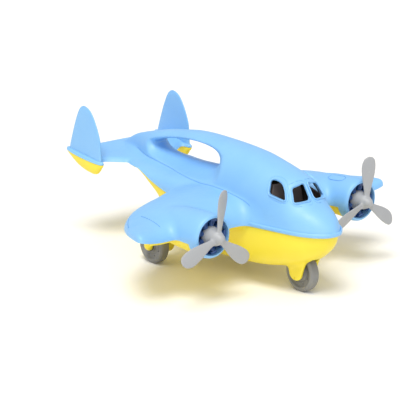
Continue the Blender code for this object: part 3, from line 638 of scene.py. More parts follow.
def spine_ring(y, inset=0.0, drop=0.0, count=57):
    base = curve(SEAM, y) + curve(((-110.0, 0.6), (-95.0, 3.0)), y) - drop
    top = curve(SPINE_TOP, y) - inset
    half = max(curve(SPINE_WIDTH, y) - inset, 0.2)
    return arch(y, half, base, max(top, base + 0.5), 2.4, count)


def hull_ring(y, inset=0.0, raise_by=0.0, floor=None, skirt=0.0, count=57):
    base = curve(SEAM, y) - GAP + raise_by
    ahead = y - LIP_OVERHANG * ease((-125.0 - y) / 30.0)
    bottom = curve(KEEL, ahead) + inset
    half = max(curve(OUTLINE, ahead) - curve(((-150.0, 1.6), (-120.0, 1.0)), y) - inset, 0.2)
    roundness = curve(((-160.0, 2.1), (-90.0, 3.4)), y)
    ring = arch(y, half, base, min(bottom, base - 0.4), roundness, count, skirt)
    if floor is not None:
        ring = [(x, y_, max(z, floor)) for x, y_, z in ring]
    return ring


def wing_edges(x):
    return curve(LEADING_EDGE, x), curve(TRAILING_EDGE, x)


def wing_seam(x, y):
    """The seam follows the body's at the wing root and runs nearly level towards the tip."""
    level = 60.5 + 3.5 * clamp((y + 75.5) / 100.0) + 4.5 * clamp((x - 128.0) / 26.0) ** 1.5
    outward = ease((x - 43.0) / 34.0)
    return curve(SEAM, y) * (1 - outward) + level * outward


def stabiliser_bottom(y):
    return 81.8 + 6.1 * (y - 101.0) / 61.5


def seam_height(x, y):
    """The parting surface between blue and yellow, over the whole airplane."""
    aft = ease((y - 90.0) / 10.0)
    return wing_seam(abs(x), y) * (1 - aft) + (stabiliser_bottom(y) + 0.1) * aft


def wing_ring(x, inset=0.0, drop=0.0, count=41):
    """A wing section at x: a rounded top over a flat underside that lies drop below the seam."""
    leading, trailing = wing_edges(x)
    leading += inset
    trailing -= inset
    height = max(curve(WING_HEIGHT, x) - inset, 0.6)
    peak = 0.40 ** 0.42 * 0.60 ** 0.62
    ring = []
    for i in range(count):
        u = 0.5 - 0.5 * math.cos(math.pi * i / (count - 1))
        rise = height * (u ** 0.42 * (1 - u) ** 0.62) / peak
        y = leading + (trailing - leading) * u
        ring.append((x, y, wing_seam(x, y) + 1.6 * min(u * 12, 1, (1 - u) * 12) + rise * 0.93))
    return ring + [(x, y, wing_seam(x, y) - drop) for y in spread(trailing, leading, 13)]


WING_X = spread(30.0, 141.0, 38) + [154.0 - step for step in crowd(0.0, 11.0, 9, 1.6)[::-1]]


def wing(name, inset=0.0, drop=0.0, stations=WING_X):
    return loft(name, [wing_ring(x, inset, drop) for x in stations])


def pod_half(y):
    t = (y - POD_FRONT_Y) / (TAIL_Y - POD_FRONT_Y)
    return max(POD_HALF_WIDTH * (4 * t * (1 - t)) ** 0.4, 0.4)


def pod_stations():
    half = (TAIL_Y - POD_FRONT_Y) / 2
    middle = (TAIL_Y + POD_FRONT_Y) / 2
    return [middle - half * math.cos(math.pi * i / 40) for i in range(41)]


def pods(name, section):
    """A long body at the foot of each fin, from the section that it has at each station."""
    solids = []
    for x in (FIN_X, -FIN_X):
        rings = [[(x + px, py, pz) for px, py, pz in section(y)] for y in pod_stations()]
        solids.append(loft(name, rings))
    return solids


def stabiliser_plate(name, bottom, thickness, inset=0.0, half=FIN_X, rounding=0.0):
    rings = []
    for x in spread(-half, half, 31):
        leading = curve(((0.0, 96.0), (26.0, 101.0), (51.0, 116.0), (60.0, 119.0)), abs(x)) + inset
        trailing = 162.5 - inset
        edge = max(thickness / 3, rounding)
        section = [
            (trailing, 0.0), (leading, 0.0), (leading, thickness - edge),
            (leading + edge * 1.5, thickness), (trailing - edge * 1.5, thickness),
            (trailing, thickness - edge),
        ]
        rings.append([(x, y, stabiliser_bottom(y) + bottom + z) for y, z in section])
    return loft(name, rings)


def fin_solid(name, x, grow=0.0):
    """A fin: bullet-shaped from the side, thinning upward, with its foot inside the pod."""
    rings = []
    levels = spread(FIN_FOOT, 131.0, 24)
    levels += [FIN_TIP - step for step in crowd(0.0, 6.6, 14, 1.8)[::-1]]
    for level in levels:
        front = curve(FIN_FRONT, level) - grow
        back = curve(FIN_BACK, level) + grow
        half = FIN_THICKNESS / 2 * (1 - 0.45 * (level - 88.0) / 50.0) + grow
        half *= 1 - 0.55 * ease((level - 133.0) / 5.2)
        ring = []
        for c, s in circle(56):
            y = (front + back) / 2 + (back - front) / 2 * c
            z = stabiliser_bottom(y) + 1.6 - grow if level == levels[0] else level
            ring.append((x + half * bulge(s, 0.5), y, z))
        rings.append(ring)
    return loft(name, rings)


def seam_solid(name, offset, far_z):
    """Everything on one side of the parting surface, as far as a level far_z.

    Ahead of the cowls' backs only the middle is taken, so that the round cowls stay whole.
    """
    blocks = []
    behind, ahead = (160.0, COWL_BACK_Y, 175.0), (62.0, -175.0, COWL_BACK_Y + 0.01)
    for x_reach, y_low, y_high in (behind, ahead):
        xs = spread(-x_reach, x_reach, int(x_reach / 2) + 1)
        ys = spread(y_low, y_high, int((y_high - y_low) / 2.5) + 2)
        rings = []
        for y in ys:
            edge = [(x, y, seam_height(x, y) + offset) for x in xs]
            rings.append(edge + [(x_reach, y, far_z), (-x_reach, y, far_z)])
        blocks.append(loft(name, rings))
    return blocks


# ---- cutters

def grip_cutter():
    """The hand hole, with a bowl-shaped scoop on each side that slants forward and outward."""
    outline = rounded(GRIP_HOLE, 20.0, 3)
    rings = []
    for x in spread(-46.0, 46.0, 93):
        out = math.hypot(max(abs(x) - HANDLE_HALF_WIDTH, 0.0), 2.0) - 2.0
        drop = SCOOP_DEPTH * math.tanh(max(abs(x) - 2.0, 0.0) / SCOOP_REACH)
        ring = []
        for y, z in outline:
            shift = 1.25 * ease((y - 20.0) / 60.0) - 1.3 * ease((40.0 - y) / 50.0)
            lift = 0.55 * out * ease((z - 99.0) / 6.0) - drop * ease((102.0 - z) / 5.0)
            ring.append((x, y + shift * out, z + lift))
        rings.append(ring)
    return loft("grip", rings)


def nacelle(name, taper, inset=0.0):
    cowl = COWL_R - inset
    profile = [
        (COWL_FRONT_Y, cowl - 1.2), (COWL_FRONT_Y + 0.3, cowl - 0.5),
        (COWL_FRONT_Y + 1.0, cowl + 0.1), (COWL_FRONT_Y + 2.4, cowl + 0.6),
        (-101.5, cowl + 0.9), (-98.0, cowl + 1.0), (-86.0, cowl + 0.8), *taper,
    ]
    fine = [(y, curve(profile, y)) for y in spread(COWL_FRONT_Y, -12.0, 60)]
    profile = profile[:3] + [point for point in fine if point[0] > COWL_FRONT_Y + 1.4]
    return turned(name, profile, HUB, "y", 72)


def engine_hollow():
    profile = [(BULKHEAD_BACK_Y, 17.4), (-60.0, 14.0), (-40.0, 8.0)]
    return turned("hollow", profile, HUB, "y", 48)


def engine_recess():
    profile = [(COWL_FRONT_Y - 2, RECESS_R), (RECESS_BACK_Y, RECESS_R)]
    return turned("recess", profile, HUB, "y", 96)


def window_paths(tree, by):
    """Round each window of the cabin, by outside its edge: the path on the skin and the way in."""
    paths = []
    for sign in (1, -1):
        screen = grown(rounded(SCREEN_OUTLINE, WINDOW_CORNER), by)
        path = cast(tree, [(sign * u, 0, v) for u, v in screen], (0, 1, 0))
        paths.append((path, Vector((0.0, 1.0, 0.0))))
        window = grown(rounded(SIDE_WINDOW_OUTLINE, WINDOW_CORNER), by)
        path = cast(tree, [(0, u, v) for u, v in window], (-sign, 0, 0))
        across, back, up = SIDE_WINDOW_WAY
        paths.append((path, Vector((sign * across, back, up))))
    return paths


def window_cutters(tree, by=0.0):
    """Cutters that pass through the cabin wall along each window's way in."""
    cutters = []
    for path, inward in window_paths(tree, by):
        rings = [[point + inward * depth for point, _ in path] for depth in WINDOW_CUT]
        cutters.append(loft("window", rings))
    return cutters


# ---- blue mouldings

def shell_hold(place):
    """Where the blue moulding may soften: fully in front, only a little behind the grip."""
    x, y, z = np.abs(place[:, 0]), place[:, 1], place[:, 2]
    stations = np.arange(NOSE_Y, TAIL_Y, 1.0)
    foot = np.interp(y, stations, [curve(SPINE_WIDTH, station) for station in stations])
    near = np.clip(1.6 - np.hypot(x - foot, z - 89.0) / 6.0, 0, 1)
    near *= np.clip((y + 108.0) / 18.0, 0, 1)
    factor = 1.0 - 0.6 * np.clip((y + 30.0) / 60.0, 0, 1)
    return np.where(z < 60.0, 0.2, factor * (1.0 - 0.9 * near))


def body_stations(start, end):
    return [start + s for s in crowd(0.0, 24.0, 14, 2.2)] + spread(start + 26.0, end, 110)


def blue_solid():
    shoulder = loft("shell", [shoulder_ring(y, skirt=SKIRT) for y in body_stations(NOSE_Y, 161.0)])
    spine = loft("spine", [spine_ring(y) for y in body_stations(-167.5, 147.0)])
    pieces = [spine] + both(wing("wing", drop=SKIRT)) + both(nacelle("nacelle", BLUE_TAPER))
    pieces.append(stabiliser_plate("stabiliser", 0.25 - SKIRT, 4.0 + SKIRT, rounding=1.4))

    def pod_section(y):
        base = stabiliser_bottom(y)
        return arch(y, pod_half(y), base, base + POD_HEIGHT, 2.6, 21, SKIRT)

    join(shoulder, pieces + pods("pod", pod_section))
    cut(shoulder, [grip_cutter()])
    return shoulder


def shell_cavities():
    bay = loft("bay", [shoulder_ring(y, WALL, 14.0) for y in spread(-100.0, 76.0, 40)])
    cabin = loft("cabin", [spine_ring(y, CABIN_WALL, 16.0) for y in spread(-161.0, -55.0, 54)])
    hollow = wing("hollow", WALL, 14.0, spread(43.0, 143.0, 30))
    bore = PROP_PIN_R + 0.4
    shaft = turned("shaft", [(-100.0, bore), (-80.0, bore)], HUB, "y", 32)
    cutters = [bay, cabin]
    for cutter in (hollow, engine_hollow(), engine_recess(), shaft):
        cutters += both(cutter)
    return cutters


def window_beads(tree, by, size):
    return [bead("rim", path, *size, True) for path, _ in window_paths(tree, by)]


def lip_rings():
    """The rolled edge that the blue moulding carries round the nose, just above the seam."""
    stations = [NOSE_Y + 0.9 + s for s in crowd(0.0, 78.0, 60, 1.8)]
    points = [(curve(OUTLINE, y) - 0.35, y) for y in stations]
    outline = [(-x, y) for x, y in points[::-1]] + points
    path = []
    for x, y in outline:
        outward = Vector((x, (y + 100.0) * 0.35, 0)).normalized()
        path.append((Vector((x, y, curve(SEAM, y) + LIP_BEAD[0])), outward))
    return path


def panel_lines(tree):
    """Shallow grooves: the crease along the body, the aileron lines and a plain hatch."""
    grooves = []

    def groove(points, size, closed=False):
        grooves.append(bead("groove", cast(tree, points, (0, 0, -1)), *size, closed))

    for sign in (1, -1):
        stations = spread(-88.0, 112.0, 106)
        groove([(sign * (curve(SPINE_WIDTH, y) + 0.2), y, 0) for y in stations], CREASE_GROOVE)
        stations = spread(106.0, 141.0, 26)
        groove([(sign * x, curve(TRAILING_EDGE, x) - 6.0, 0) for x in stations], DEEP_GROOVE)
        chord = [(sign * (119.0 + 3.5 * t), -34.0 - 33.0 * t, 0) for t in spread(0.0, 1.0, 20)]
        groove(chord, CHORD_GROOVE)
        hatch = [(86.0 + 4.2 * bulge(s, 0.8), -80.0 + 10.5 * bulge(c, 0.6)) for c, s in circle(48)]
        groove([(sign * x, y, 0) for x, y in hatch], DEEP_GROOVE, True)
    return grooves


def make_shell(material):
    shell = blue_solid()
    fuse(shell, SHELL_FINISH, keep=shell_hold)
    tree = surface(shell)
    rims = window_beads(tree, RIM_OFFSET, RIM_BEAD)
    grooves = panel_lines(tree) + window_beads(tree, RIM_GROOVE_OFFSET, RIM_GROOVE)
    join(shell, [bead("lip", lip_rings(), *LIP_BEAD, False, 12)])
    cut(shell, shell_cavities())
    join(shell, rims)
    cut(shell, window_cutters(tree) + grooves)
    cut(shell, seam_solid("under", 0.0, 20.0))
    cut(shell, [fin_solid("slot", sign * FIN_X, GAP) for sign in (1, -1)])
    place_piece(shell, "upper_shell_moulding", material, ["upper_shell"])
    return tree


def make_fin(side, material):
    fin = fin_solid("fin", side_sign(side) * FIN_X)
    name = f"tail_fin_moulding_{side}"
    place_piece(fin, name, material, [f"tail_fin_{side}"], 60)


# ---- yellow mouldings

def lug(x_inner, x_outer, y, half_width, foot, bottom, top, lean=0.0):
    """A bearing cheek that tapers down to a rounded foot."""
    round_top = bottom + foot * 0.8
    outline = [(y + half_width - lean / 2, top)]
    for i in range(33):
        angle = math.pi * i / 32
        outline.append((y + foot * math.cos(angle), round_top - foot * 0.8 * math.sin(angle)))
    outline.append((y - half_width - lean, top))
    return prism("lug", outline, "x", *sorted((x_inner, x_outer)))


def rod(name, y, z, low, high, radius):
    return turned(name, [(low, radius), (high, radius)], (0, y, z), "x", 48)


def wing_underside():
    rings = []
    for x in spread(30.0, 141.0, 40):
        leading, trailing = wing_edges(x)
        ys = spread(leading + 2.2, trailing - 2.2, 24)
        low = [(x, y, wing_seam(x, y) - GAP - 2.6) for y in ys]
        high = [(x, y, wing_seam(x, y) + 3.0) for y in ys[::-1]]
        rings.append(low + high)
    panel = loft("panel", rings)
    half_nacelle = nacelle("half_nacelle", YELLOW_TAPER, 0.9)
    keep = box("keep", (60, COWL_BACK_Y + GAP, 20), (130, 5, 66))
    combine(half_nacelle, [keep], "INTERSECT")
    return join(panel, [half_nacelle])


def make_hull(material):
    stations = body_stations(NOSE_Y + LIP_OVERHANG + 0.1, HULL_END_Y)
    hull = loft("hull", [hull_ring(y, skirt=SKIRT) for y in stations])
    pieces = both(wing_underside())
    for sign in (1, -1):
        x = sign * WELL_HALF_WIDTH
        pieces.append(lug(x, x + sign * LUG_THICKNESS, NOSE_WHEEL.y, *NOSE_LUG))
        pieces.append(lug(*(sign * edge for edge in REAR_LUG_X), REAR_WHEEL.y, *REAR_LUG))
        low, high = sorted((sign * (RAMP_HALF_WIDTH + 0.2), sign * (RAMP_HALF_WIDTH + 6.0)))
        reach, bottom, top = HINGE_EAR
        pieces.append(box("ear", (low, RAMP_HINGE.y - reach, bottom),
                          (high, RAMP_HINGE.y + reach, top)))
    join(hull, pieces)
    fuse(hull, HULL_FINISH)
    cavity = loft("cavity", [hull_ring(y, WALL, 14.0, FLOOR_Z) for y in spread(-158.0, 90.0, 90)])
    doorway = box("doorway", (-RAMP_HALF_WIDTH, RAMP_HINGE.y - RAMP_BARREL_R - 0.5, 0),
                  (RAMP_HALF_WIDTH, 100, 110))
    cut(hull, [cavity] + both(engine_hollow()) + both(engine_recess()) + [doorway])
    half_width, half_length = WELL_HALF_WIDTH + WELL_WALL, WELL_HALF_LENGTH + WELL_WALL
    hump = box("hump", (-half_width, NOSE_WHEEL.y - half_length, 15.0),
               (half_width, NOSE_WHEEL.y + half_length, WELL_TOP + WELL_WALL))
    filled = loft("filled", [hull_ring(y, 0.8) for y in spread(-158.0, -90.0, 40)])
    combine(hump, [filled], "INTERSECT")
    join(hull, [hump, box("pad", PAD_LOW, PAD_HIGH)])
    well = box("well", (-WELL_HALF_WIDTH, NOSE_WHEEL.y - WELL_HALF_LENGTH, 0),
               (WELL_HALF_WIDTH, NOSE_WHEEL.y + WELL_HALF_LENGTH, WELL_TOP))
    axle_end = WELL_HALF_WIDTH + AXLE_HOLE_LENGTH
    holes = [rod("hole", NOSE_WHEEL.y, WHEEL_R, -axle_end, axle_end, AXLE_R + GAP)]
    holes.append(rod("hole", RAMP_HINGE.y, RAMP_HINGE.z, *HINGE_HOLE_X, RAMP_PIN_R + GAP))
    for sign in (1, -1):
        low, high = sorted(sign * end for end in REAR_HOLE_X)
        holes.append(rod("hole", REAR_WHEEL.y, WHEEL_R, low, high, AXLE_R + GAP))
        face = sign * (WELL_HALF_WIDTH + LUG_THICKNESS)
        low, high = sorted((face - sign * 0.7, face + sign * 2.0))
        bottom, top = NOSE_SLOT_Z
        holes.append(box("slot", (low, NOSE_WHEEL.y - 0.5, bottom),
                         (high, NOSE_WHEEL.y + 0.5, top)))
    cut(hull, [well] + holes)
    cut(hull, seam_solid("above", -GAP, 150.0))
    place_piece(hull, "lower_hull_moulding", material, ["lower_hull"])


def make_ramp(material):
    ramp = loft("ramp", [hull_ring(y) for y in spread(14.0, HULL_END_Y - 0.2, 60)])
    cut(ramp, [loft("inner", [hull_ring(y, WALL, 12.0) for y in spread(8.0, 90.0, 60)])])
    edge = RAMP_HALF_WIDTH - GAP
    combine(ramp, [box("keep", (-edge, 0, 0), (edge, 100, 110))], "INTERSECT")
    barrel = rod("barrel", RAMP_HINGE.y, RAMP_HINGE.z, -edge, edge, RAMP_BARREL_R)
    bottom, top = RAMP_WEB_Z
    web = box("web", (-edge, RAMP_HINGE.y, bottom), (edge, RAMP_WEB_BACK_Y, top))
    join(ramp, [barrel, web])
    cut(ramp, [rod("bore", RAMP_HINGE.y, RAMP_HINGE.z, -40, 40, RAMP_PIN_R + GAP)])
    place_piece(
        ramp, "cargo_ramp_moulding", material, ["cargo_ramp"], body="ramp"
    )


def make_tail_underside(material):
    plate = stabiliser_plate("plate", -1.5 * GAP - 1.0, 1.0, inset=7.0, half=FIN_X - 1)
    tail = []
    for y in spread(HULL_END_Y + RAMP_SWING_GAP, TAIL_END_Y, 30):
        half = curve(OUTLINE, y) - 2.6
        high = curve(SEAM, y) - 2 * GAP
        low = high - TAIL_PLATE
        tail.append([(half, y, high), (-half, y, high), (-half, y, low), (half, y, low)])

    def keel_section(y):
        base = stabiliser_bottom(y) - GAP
        half = max(pod_half(y) - 0.8, 0.3)
        return arch(y, half, base, base - curve(KEEL_DEPTH, y), 2.4, 25)

    join(plate, [loft("tail", tail)] + pods("keel", keel_section))
    name = "tail_underside_moulding"
    place_piece(plate, name, material, ["tail_underside"], 50)


# ---- running gear

def make_wheel(name, centre, body, material):
    half = WHEEL_HALF
    disc = half - 2.2
    outer = [
        (half - 0.3, AXLE_R + 0.4), (half, AXLE_R + 0.8), (half, 5.9), (half - 0.3, 6.5),
        (disc + 0.3, 7.0), (disc, 7.5), (disc, 8.4), (disc - 0.35, 8.8), (disc, 9.2), (disc, 13.0),
        (disc + 0.35, 13.6), (half - 0.45, 14.4), (half - 0.05, 15.0), (half, 15.6),
        (half - 0.35, 16.7), (half - 1.0, 17.7), (half - 1.8, WHEEL_R - 0.15),
        (half - 2.6, WHEEL_R),
    ]
    loop = outer + [(-x, r) for x, r in outer[::-1]]
    wheel = ring_of("wheel", loop, centre)
    pits = []
    for side in (1, -1):
        for c, s in circle(SPOKE_PITS, 0.5):
            y, z = centre.y + PIT_CIRCLE_R * c, centre.z + PIT_CIRCLE_R * s
            x = centre.x + side * disc
            low, high = sorted((x - side * 0.7, x + side * 2.0))
            pits.append(turned("pit", [(low, PIT_R), (high, PIT_R)], (0, y, z), "x", 20))
    cut(wheel, pits)
    node = name.replace("_moulding", "")
    place_piece(wheel, name, material, [node], 42, body)


def make_rear_pin(side, material, dark):
    sign = side_sign(side)
    face = REAR_WHEEL.x + WHEEL_HALF
    profile = [
        (34.5, AXLE_R - 0.8), (35.5, AXLE_R), (face + 0.4, AXLE_R), (face + 0.5, PIN_HEAD_R - 0.3),
        (face + 0.8, PIN_HEAD_R),
    ]
    for a in spread(0.0, 1.45, 12):
        profile.append((face + 1.4 + 4.1 * math.sin(a), PIN_HEAD_R * math.cos(a) ** 0.8))
    pin = turned("pin", [(sign * x, r) for x, r in profile], (0, REAR_WHEEL.y, WHEEL_R), "x", 48)
    name = f"rear_pin_moulding_{side}"
    place_piece(pin, name, material, [f"rear_axle_pin_{side}"], 50)
    # A thin dark ring at the pin's foot: painted shade for the shadowed gap round the pin.
    loop = [(0.0, AXLE_R + 0.1), (0.4, AXLE_R + 0.1), (0.4, 6.0), (0.0, 6.0)]
    loop = [(sign * (face + x), r) for x, r in loop]
    washer = ring_of("washer", loop, Vector((0, REAR_WHEEL.y, WHEEL_R)), 48)
    place_piece(washer, f"rear_washer_{side}", dark)


def make_nose_axle(material):
    reach = WELL_HALF_WIDTH + LUG_THICKNESS - 1.3
    profile = pin_profile(-reach, reach, AXLE_R, 0.6, 0.6)
    axle = turned("axle", profile, (0, NOSE_WHEEL.y, WHEEL_R), "x", 48)
    place_piece(axle, "nose_axle_pin", material, ["nose_axle"])


def make_hinge_pin(material):
    profile = pin_profile(RAMP_PIN_LOW.x, RAMP_PIN_HIGH.x, RAMP_PIN_R)
    pin = turned("pin", profile, (0, RAMP_HINGE.y, RAMP_HINGE.z), "x", 32)
    place_piece(pin, "ramp_pin", material, ["ramp_hinge_pin"])


# ---- engines and propellers

def make_engine(side, material):
    """A radial engine: finned barrels with rocker boxes round a crankcase disc."""
    centre = hub(side)
    radius = ENGINE_R - 0.05
    front = ENGINE_LOW.y + CYLINDER_HEIGHT
    profile = [(front, radius - 0.6), (front + 0.6, radius), (ENGINE_HIGH.y - 0.1, radius)]
    disc = turned("disc", profile, centre, "y", 96)
    axis_y = ENGINE_LOW.y + CYLINDER_R + 0.3
    parts = []
    for i in range(CYLINDER_COUNT):
        angle = -2 * math.pi * i / CYLINDER_COUNT
        turn = Matrix.Translation(centre * MM) @ Matrix.Rotation(angle, 4, "Y")
        barrel = [(8.0, 2.2), (11.2, 2.2)]
        for k in range(3):
            start = 11.4 + 1.05 * k
            barrel += [(start, CYLINDER_R), (start + 0.55, CYLINDER_R)]
            barrel += [(start + 0.6, 2.3), (start + 1.0, 2.3)]
        barrel += [(15.0, 2.5), (16.4, 2.3), (16.8, 1.6)]
        cylinder = turned("barrel", barrel, (0, axis_y, 0), "x", 24)
        rocker = box("rocker", (14.4, ENGINE_LOW.y + 0.05, -3.1), (16.7, front + 0.2, 3.1))
        strut = box("strut", (8.0, axis_y, -1.2), (16.0, front + 0.2, 1.2))
        for part in (cylinder, rocker, strut):
            part.data.transform(turn)
            parts.append(part)
    join(disc, parts)
    bore = PROP_PIN_R + 0.4
    cut(disc, [turned("bore", [(-110, bore), (-80, bore)], centre, "y", 32)])
    name = f"engine_detail_{side}"
    place_piece(disc, name, material, [f"engine_{side}"], 35)


def blade(centre, turn, pitch):
    tables = [[(row[0], row[i]) for row in BLADE_SECTIONS] for i in (1, 2, 3)]
    tip = BLADE_SECTIONS[-1][0]
    rings = []
    pitch_c, pitch_s = math.cos(pitch), math.sin(pitch)
    c, s = math.cos(turn), math.sin(turn)
    for reach in spread(4.0, 38.0, 30) + [tip - step for step in crowd(0.0, 6.2, 16, 1.8)[::-1]]:
        chord, thick, lead = (curve(table, reach) for table in tables)
        ring = []
        for cosine, sine in circle(28):
            u, w = lead + chord / 2 * cosine, thick / 2 * sine
            across, along = u * pitch_c - w * pitch_s, u * pitch_s + w * pitch_c
            x, z = centre.x + reach * c - across * s, centre.z + reach * s + across * c
            ring.append((x, BLADE_Y + along, z))
        rings.append(ring)
    return loft("blade", rings)


def make_propeller(side, material):
    centre = hub(side)
    body = f"propeller_{side}"
    profile = [
        (SPINNER_BACK_Y, 8.9), (SPINNER_BACK_Y - 0.5, 9.5), (-102.4, 9.6), (-104.0, 9.4),
        (-108.0, 8.5), (-113.5, 6.8), (-118.0, 4.6), (-120.0, 3.0),
        (SPINNER_FRONT_Y + 0.15, 1.5), (SPINNER_FRONT_Y, 0.5),
    ]
    spinner = turned("spinner", profile, centre, "y", 64)
    blades = []
    for i in range(3):
        turn = PROP_PHASE[side] + 2 * math.pi * i / 3
        blades.append(blade(centre, turn, PROP_HAND[side] * BLADE_PITCH))
    join(spinner, blades)
    fuse(spinner, PROPELLER_FINISH, FINE_VOXEL)
    socket = [(-96, PROP_PIN_R + GAP), (-112, PROP_PIN_R + GAP)]
    cut(spinner, [turned("socket", socket, centre, "y", 32)])
    name = f"propeller_moulding_{side}"
    place_piece(spinner, name, material, [body], 45, body)


def make_shaft(side, material):
    profile = pin_profile(SHAFT_LOW.y, SHAFT_HIGH.y, PROP_PIN_R, 0.5, 0.6)
    shaft = turned("shaft", profile, hub(side), "y", 40)
    place_piece(
        shaft, f"shaft_detail_{side}", material, [f"propeller_shaft_{side}"],
        body=f"propeller_{side}",
    )


def make_retainer(side, material):
    low, high = node_box(f"propeller_retainer_{side}")
    centre = (low + high) / 2
    radius = (high.x - low.x) / 2
    profile = pin_profile(low.y, high.y, radius)
    washer = turned("washer", profile, (centre.x, 0, centre.z), "y", 48)
    hole = [(low.y - 4, PROP_PIN_R + GAP), (high.y + 4, PROP_PIN_R + GAP)]
    cut(washer, [turned("hole", hole, (centre.x, 0, centre.z), "y", 32)])
    place_piece(
        washer, f"retainer_detail_{side}", material,
        [f"propeller_retainer_{side}"], body=f"propeller_{side}",
    )


# ---- cockpit

def make_cockpit(material, skin):
    """A dark lining inside the cabin, a sheet of painted shade where the cabin is only in shadow,
    with two seats and an instrument panel in the same dark colour.
    """
    liner = loft("liner", [spine_ring(y, CABIN_WALL + 0.5, 4.0) for y in spread(-157.0, -62.0, 34)])
    inner = loft("inner", [spine_ring(y, CABIN_WALL + 1.5, 9.0) for y in spread(-155.0, -63.4, 34)])
    cut(liner, [inner] + window_cutters(skin, 0.8))
    place_piece(liner, "cockpit_shade_liner", material)
    seats = []
    bottom, top = SEAT_Z
    for x in (-SEAT_X, SEAT_X):
        rings = []
        for level in spread(bottom, top, 24):
            t = (level - bottom) / (top - bottom)
            half = SEAT_HALF_WIDTH * (1 - 0.35 * ease((t - 0.7) / 0.3))
            y = SEAT_FRONT_Y + SEAT_RAKE * t
            thick = SEAT_HALF_THICKNESS
            outline = [(half, thick), (-half, thick), (-half, -thick), (half, -thick)]
            rings.append([(x + u, y + v, level) for u, v in rounded(outline, 1.2)])
        seats.append(loft("seat", rings))
    panel = prism("panel", rounded(PANEL_OUTLINE, 2.0), "x", *PANEL_X)
    floor = box("floor", (-18.0, -142.0, 65.0), (18.0, -94.0, 67.0))
    join(floor, seats + [panel])
    place_piece(floor, "cockpit_seats", material)


# ---- materials

def plastic(name, colour, shade, roughness, grain):
    """Moulded plastic: faint mottling, a fine spark-eroded grain, and a painted highlight that
    makes sharp edges and rims paler.
    """
    material = bpy.data.materials.new(name)
    material.use_nodes = True
    tree = material.node_tree

    def fill(node, values):
        for socket, value in values.items():
            node.inputs[socket].default_value = value
        return node

    def add(kind, values):
        return fill(tree.nodes.new("ShaderNode" + kind), values)

    def link(output, node, socket):
        tree.links.new(output, node.inputs[socket])

    def noise(scale, detail):
        node = add("TexNoise", {"Scale": scale, "Detail": detail})
        link(where.outputs["Object"], node, "Vector")
        return node.outputs["Fac"]

    def between(factor, low, high, start=0.3, end=0.7):
        values = {"From Min": start, "From Max": end, "To Min": low, "To Max": high}
        node = add("MapRange", values)
        link(factor, node, "Value")
        return node.outputs["Result"]

    def mixed(factor, second):
        node = tree.nodes.new("ShaderNodeMix")
        node.data_type = "RGBA"
        link(factor, node, "Factor")
        return fill(node, {"B": second})

    shader = fill(tree.nodes["Principled BSDF"], {
        "Metallic": 0.0, "Coat Weight": 0.05, "Coat Roughness": 0.3, "Specular IOR Level": 0.6,
    })
    where = tree.nodes.new("ShaderNodeTexCoord")
    mottle = fill(mixed(between(noise(38.0, 4.0), 0.0, 1.0), shade), {"A": colour})
    geometry = tree.nodes.new("ShaderNodeNewGeometry")
    # Painted highlight: pointed edges get a paler colour, standing in for the light that edges
    # catch.
    painted_edge_highlight = between(geometry.outputs["Pointiness"], 0.0, 0.35, 0.52, 0.62)
    edge = mixed(painted_edge_highlight, [min(c * 1.25 + 0.03, 1.0) for c in colour[:3]] + [1])
    link(mottle.outputs["Result"], edge, "A")
    link(edge.outputs["Result"], shader, "Base Color")
    rough = between(noise(160.0, 3.0), roughness - 0.05, roughness + 0.07)
    link(rough, shader, "Roughness")
    bump = add("Bump", {"Strength": grain, "Distance": 0.0002})
    link(noise(1400.0, 2.0), bump, "Height")
    link(bump.outputs["Normal"], shader, "Normal")
    return material


# ---- surroundings

def make_floor():
    mesh = bpy.data.meshes.new("floor")
    reach = FLOOR_REACH
    corners = [(-reach, -reach, 0), (reach, -reach, 0), (reach, reach, 0), (-reach, reach, 0)]
    mesh.from_pydata(corners, [], [(0, 1, 2, 3)])
    floor = add_object("floor", mesh)
    material = bpy.data.materials.new("floor_paper")
    material.use_nodes = True
    shader = material.node_tree.nodes["Principled BSDF"]
    shader.inputs["Base Color"].default_value = (0.94, 0.925, 0.895, 1)
    shader.inputs["Roughness"].default_value = 0.75
    mesh.materials.append(material)


def aim(obj, place, target):
    """Puts a light or camera at a place, looking at a target."""
    obj.location = place
    obj.rotation_euler = (Vector(target) - Vector(place)).to_track_quat("-Z", "Y").to_euler()


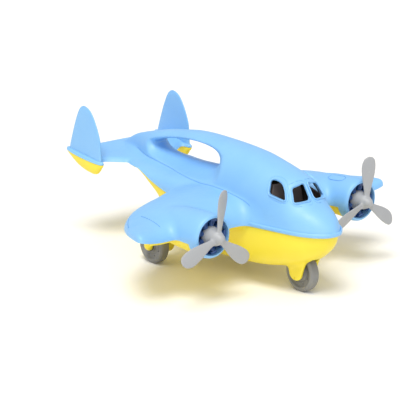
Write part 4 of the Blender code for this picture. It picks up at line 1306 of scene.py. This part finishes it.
def make_lights():
    world = bpy.data.worlds.new("studio")
    world.use_nodes = True
    background = world.node_tree.nodes["Background"]
    background.inputs["Color"].default_value = (1.0, 1.0, 1.0, 1)
    background.inputs["Strength"].default_value = WORLD_STRENGTH
    bpy.context.scene.world = world
    bpy.context.scene.view_settings.view_transform = "Standard"
    sun = bpy.data.lights.new("key", "SUN")
    sun.energy = SUN_POWER
    sun.angle = math.radians(28)
    sun.color = (1.0, 0.99, 0.97)
    aim(add_object("key", sun), (0, 0, 0), SUN_DIRECTION)
    fill = bpy.data.lights.new("fill", "AREA")
    fill.shape = "DISK"
    fill.size = 0.9
    fill.energy = 5.0
    fill.color = (1.0, 0.99, 0.98)
    aim(add_object("fill", fill), (-0.9, -1.3, 0.9), (0, 0, 0.05))


def make_camera():
    data = bpy.data.cameras.new("camera")
    data.sensor_width = 36.0
    data.lens = CAMERA_LENS
    camera = add_object("camera", data)
    aim(camera, CAMERA_PLACE, CAMERA_TARGET)
    bpy.context.scene.camera = camera


blue = plastic("blue_plastic", (0.235, 0.510, 0.850, 1), (0.215, 0.485, 0.835, 1), 0.48, 0.10)
yellow = plastic("yellow_plastic", (0.900, 0.740, 0.036, 1), (0.875, 0.705, 0.030, 1), 0.42, 0.10)
wheel_grey = plastic("wheel_plastic", (0.225, 0.225, 0.22, 1), (0.2, 0.2, 0.195, 1), 0.50, 0.14)
prop_grey = plastic("propeller_plastic", (0.375, 0.385, 0.4, 1), (0.35, 0.36, 0.375, 1), 0.44, 0.12)
# The engine's dark navy is painted shade: blue plastic coloured as it looks in the deep shadow
# inside the cowl.
engine_shade_blue = plastic("engine_shade_plastic", (0.016, 0.075, 0.260, 1), (0.013, 0.062, 0.225, 1), 0.40, 0.10)
# Dark brown for the cabin: painted shade, standing in for the shadow seen through the windows.
cabin_shade_brown = plastic("cockpit_shade_plastic", (0.150, 0.115, 0.105, 1), (0.125, 0.095, 0.088, 1), 0.60, 0.10)
dark = plastic("dark_plastic", (0.016, 0.016, 0.016, 1), (0.012, 0.012, 0.012, 1), 0.50, 0.10)

skin = make_shell(blue)
make_hull(yellow)
make_tail_underside(yellow)
make_ramp(yellow)
make_hinge_pin(dark)
make_nose_axle(wheel_grey)
make_cockpit(cabin_shade_brown, skin)
make_wheel("nose_wheel_moulding", NOSE_WHEEL, "nose_wheel", wheel_grey)
for side in ("left", "right"):
    make_fin(side, blue)
    make_engine(side, engine_shade_blue)
    make_propeller(side, prop_grey)
    make_shaft(side, prop_grey)
    make_retainer(side, dark)
    rear = Vector((side_sign(side) * REAR_WHEEL.x, REAR_WHEEL.y, REAR_WHEEL.z))
    make_wheel(f"rear_wheel_{side}_moulding", rear, f"rear_wheel_{side}", wheel_grey)
    make_rear_pin(side, yellow, dark)

make_floor()
make_lights()
make_camera()
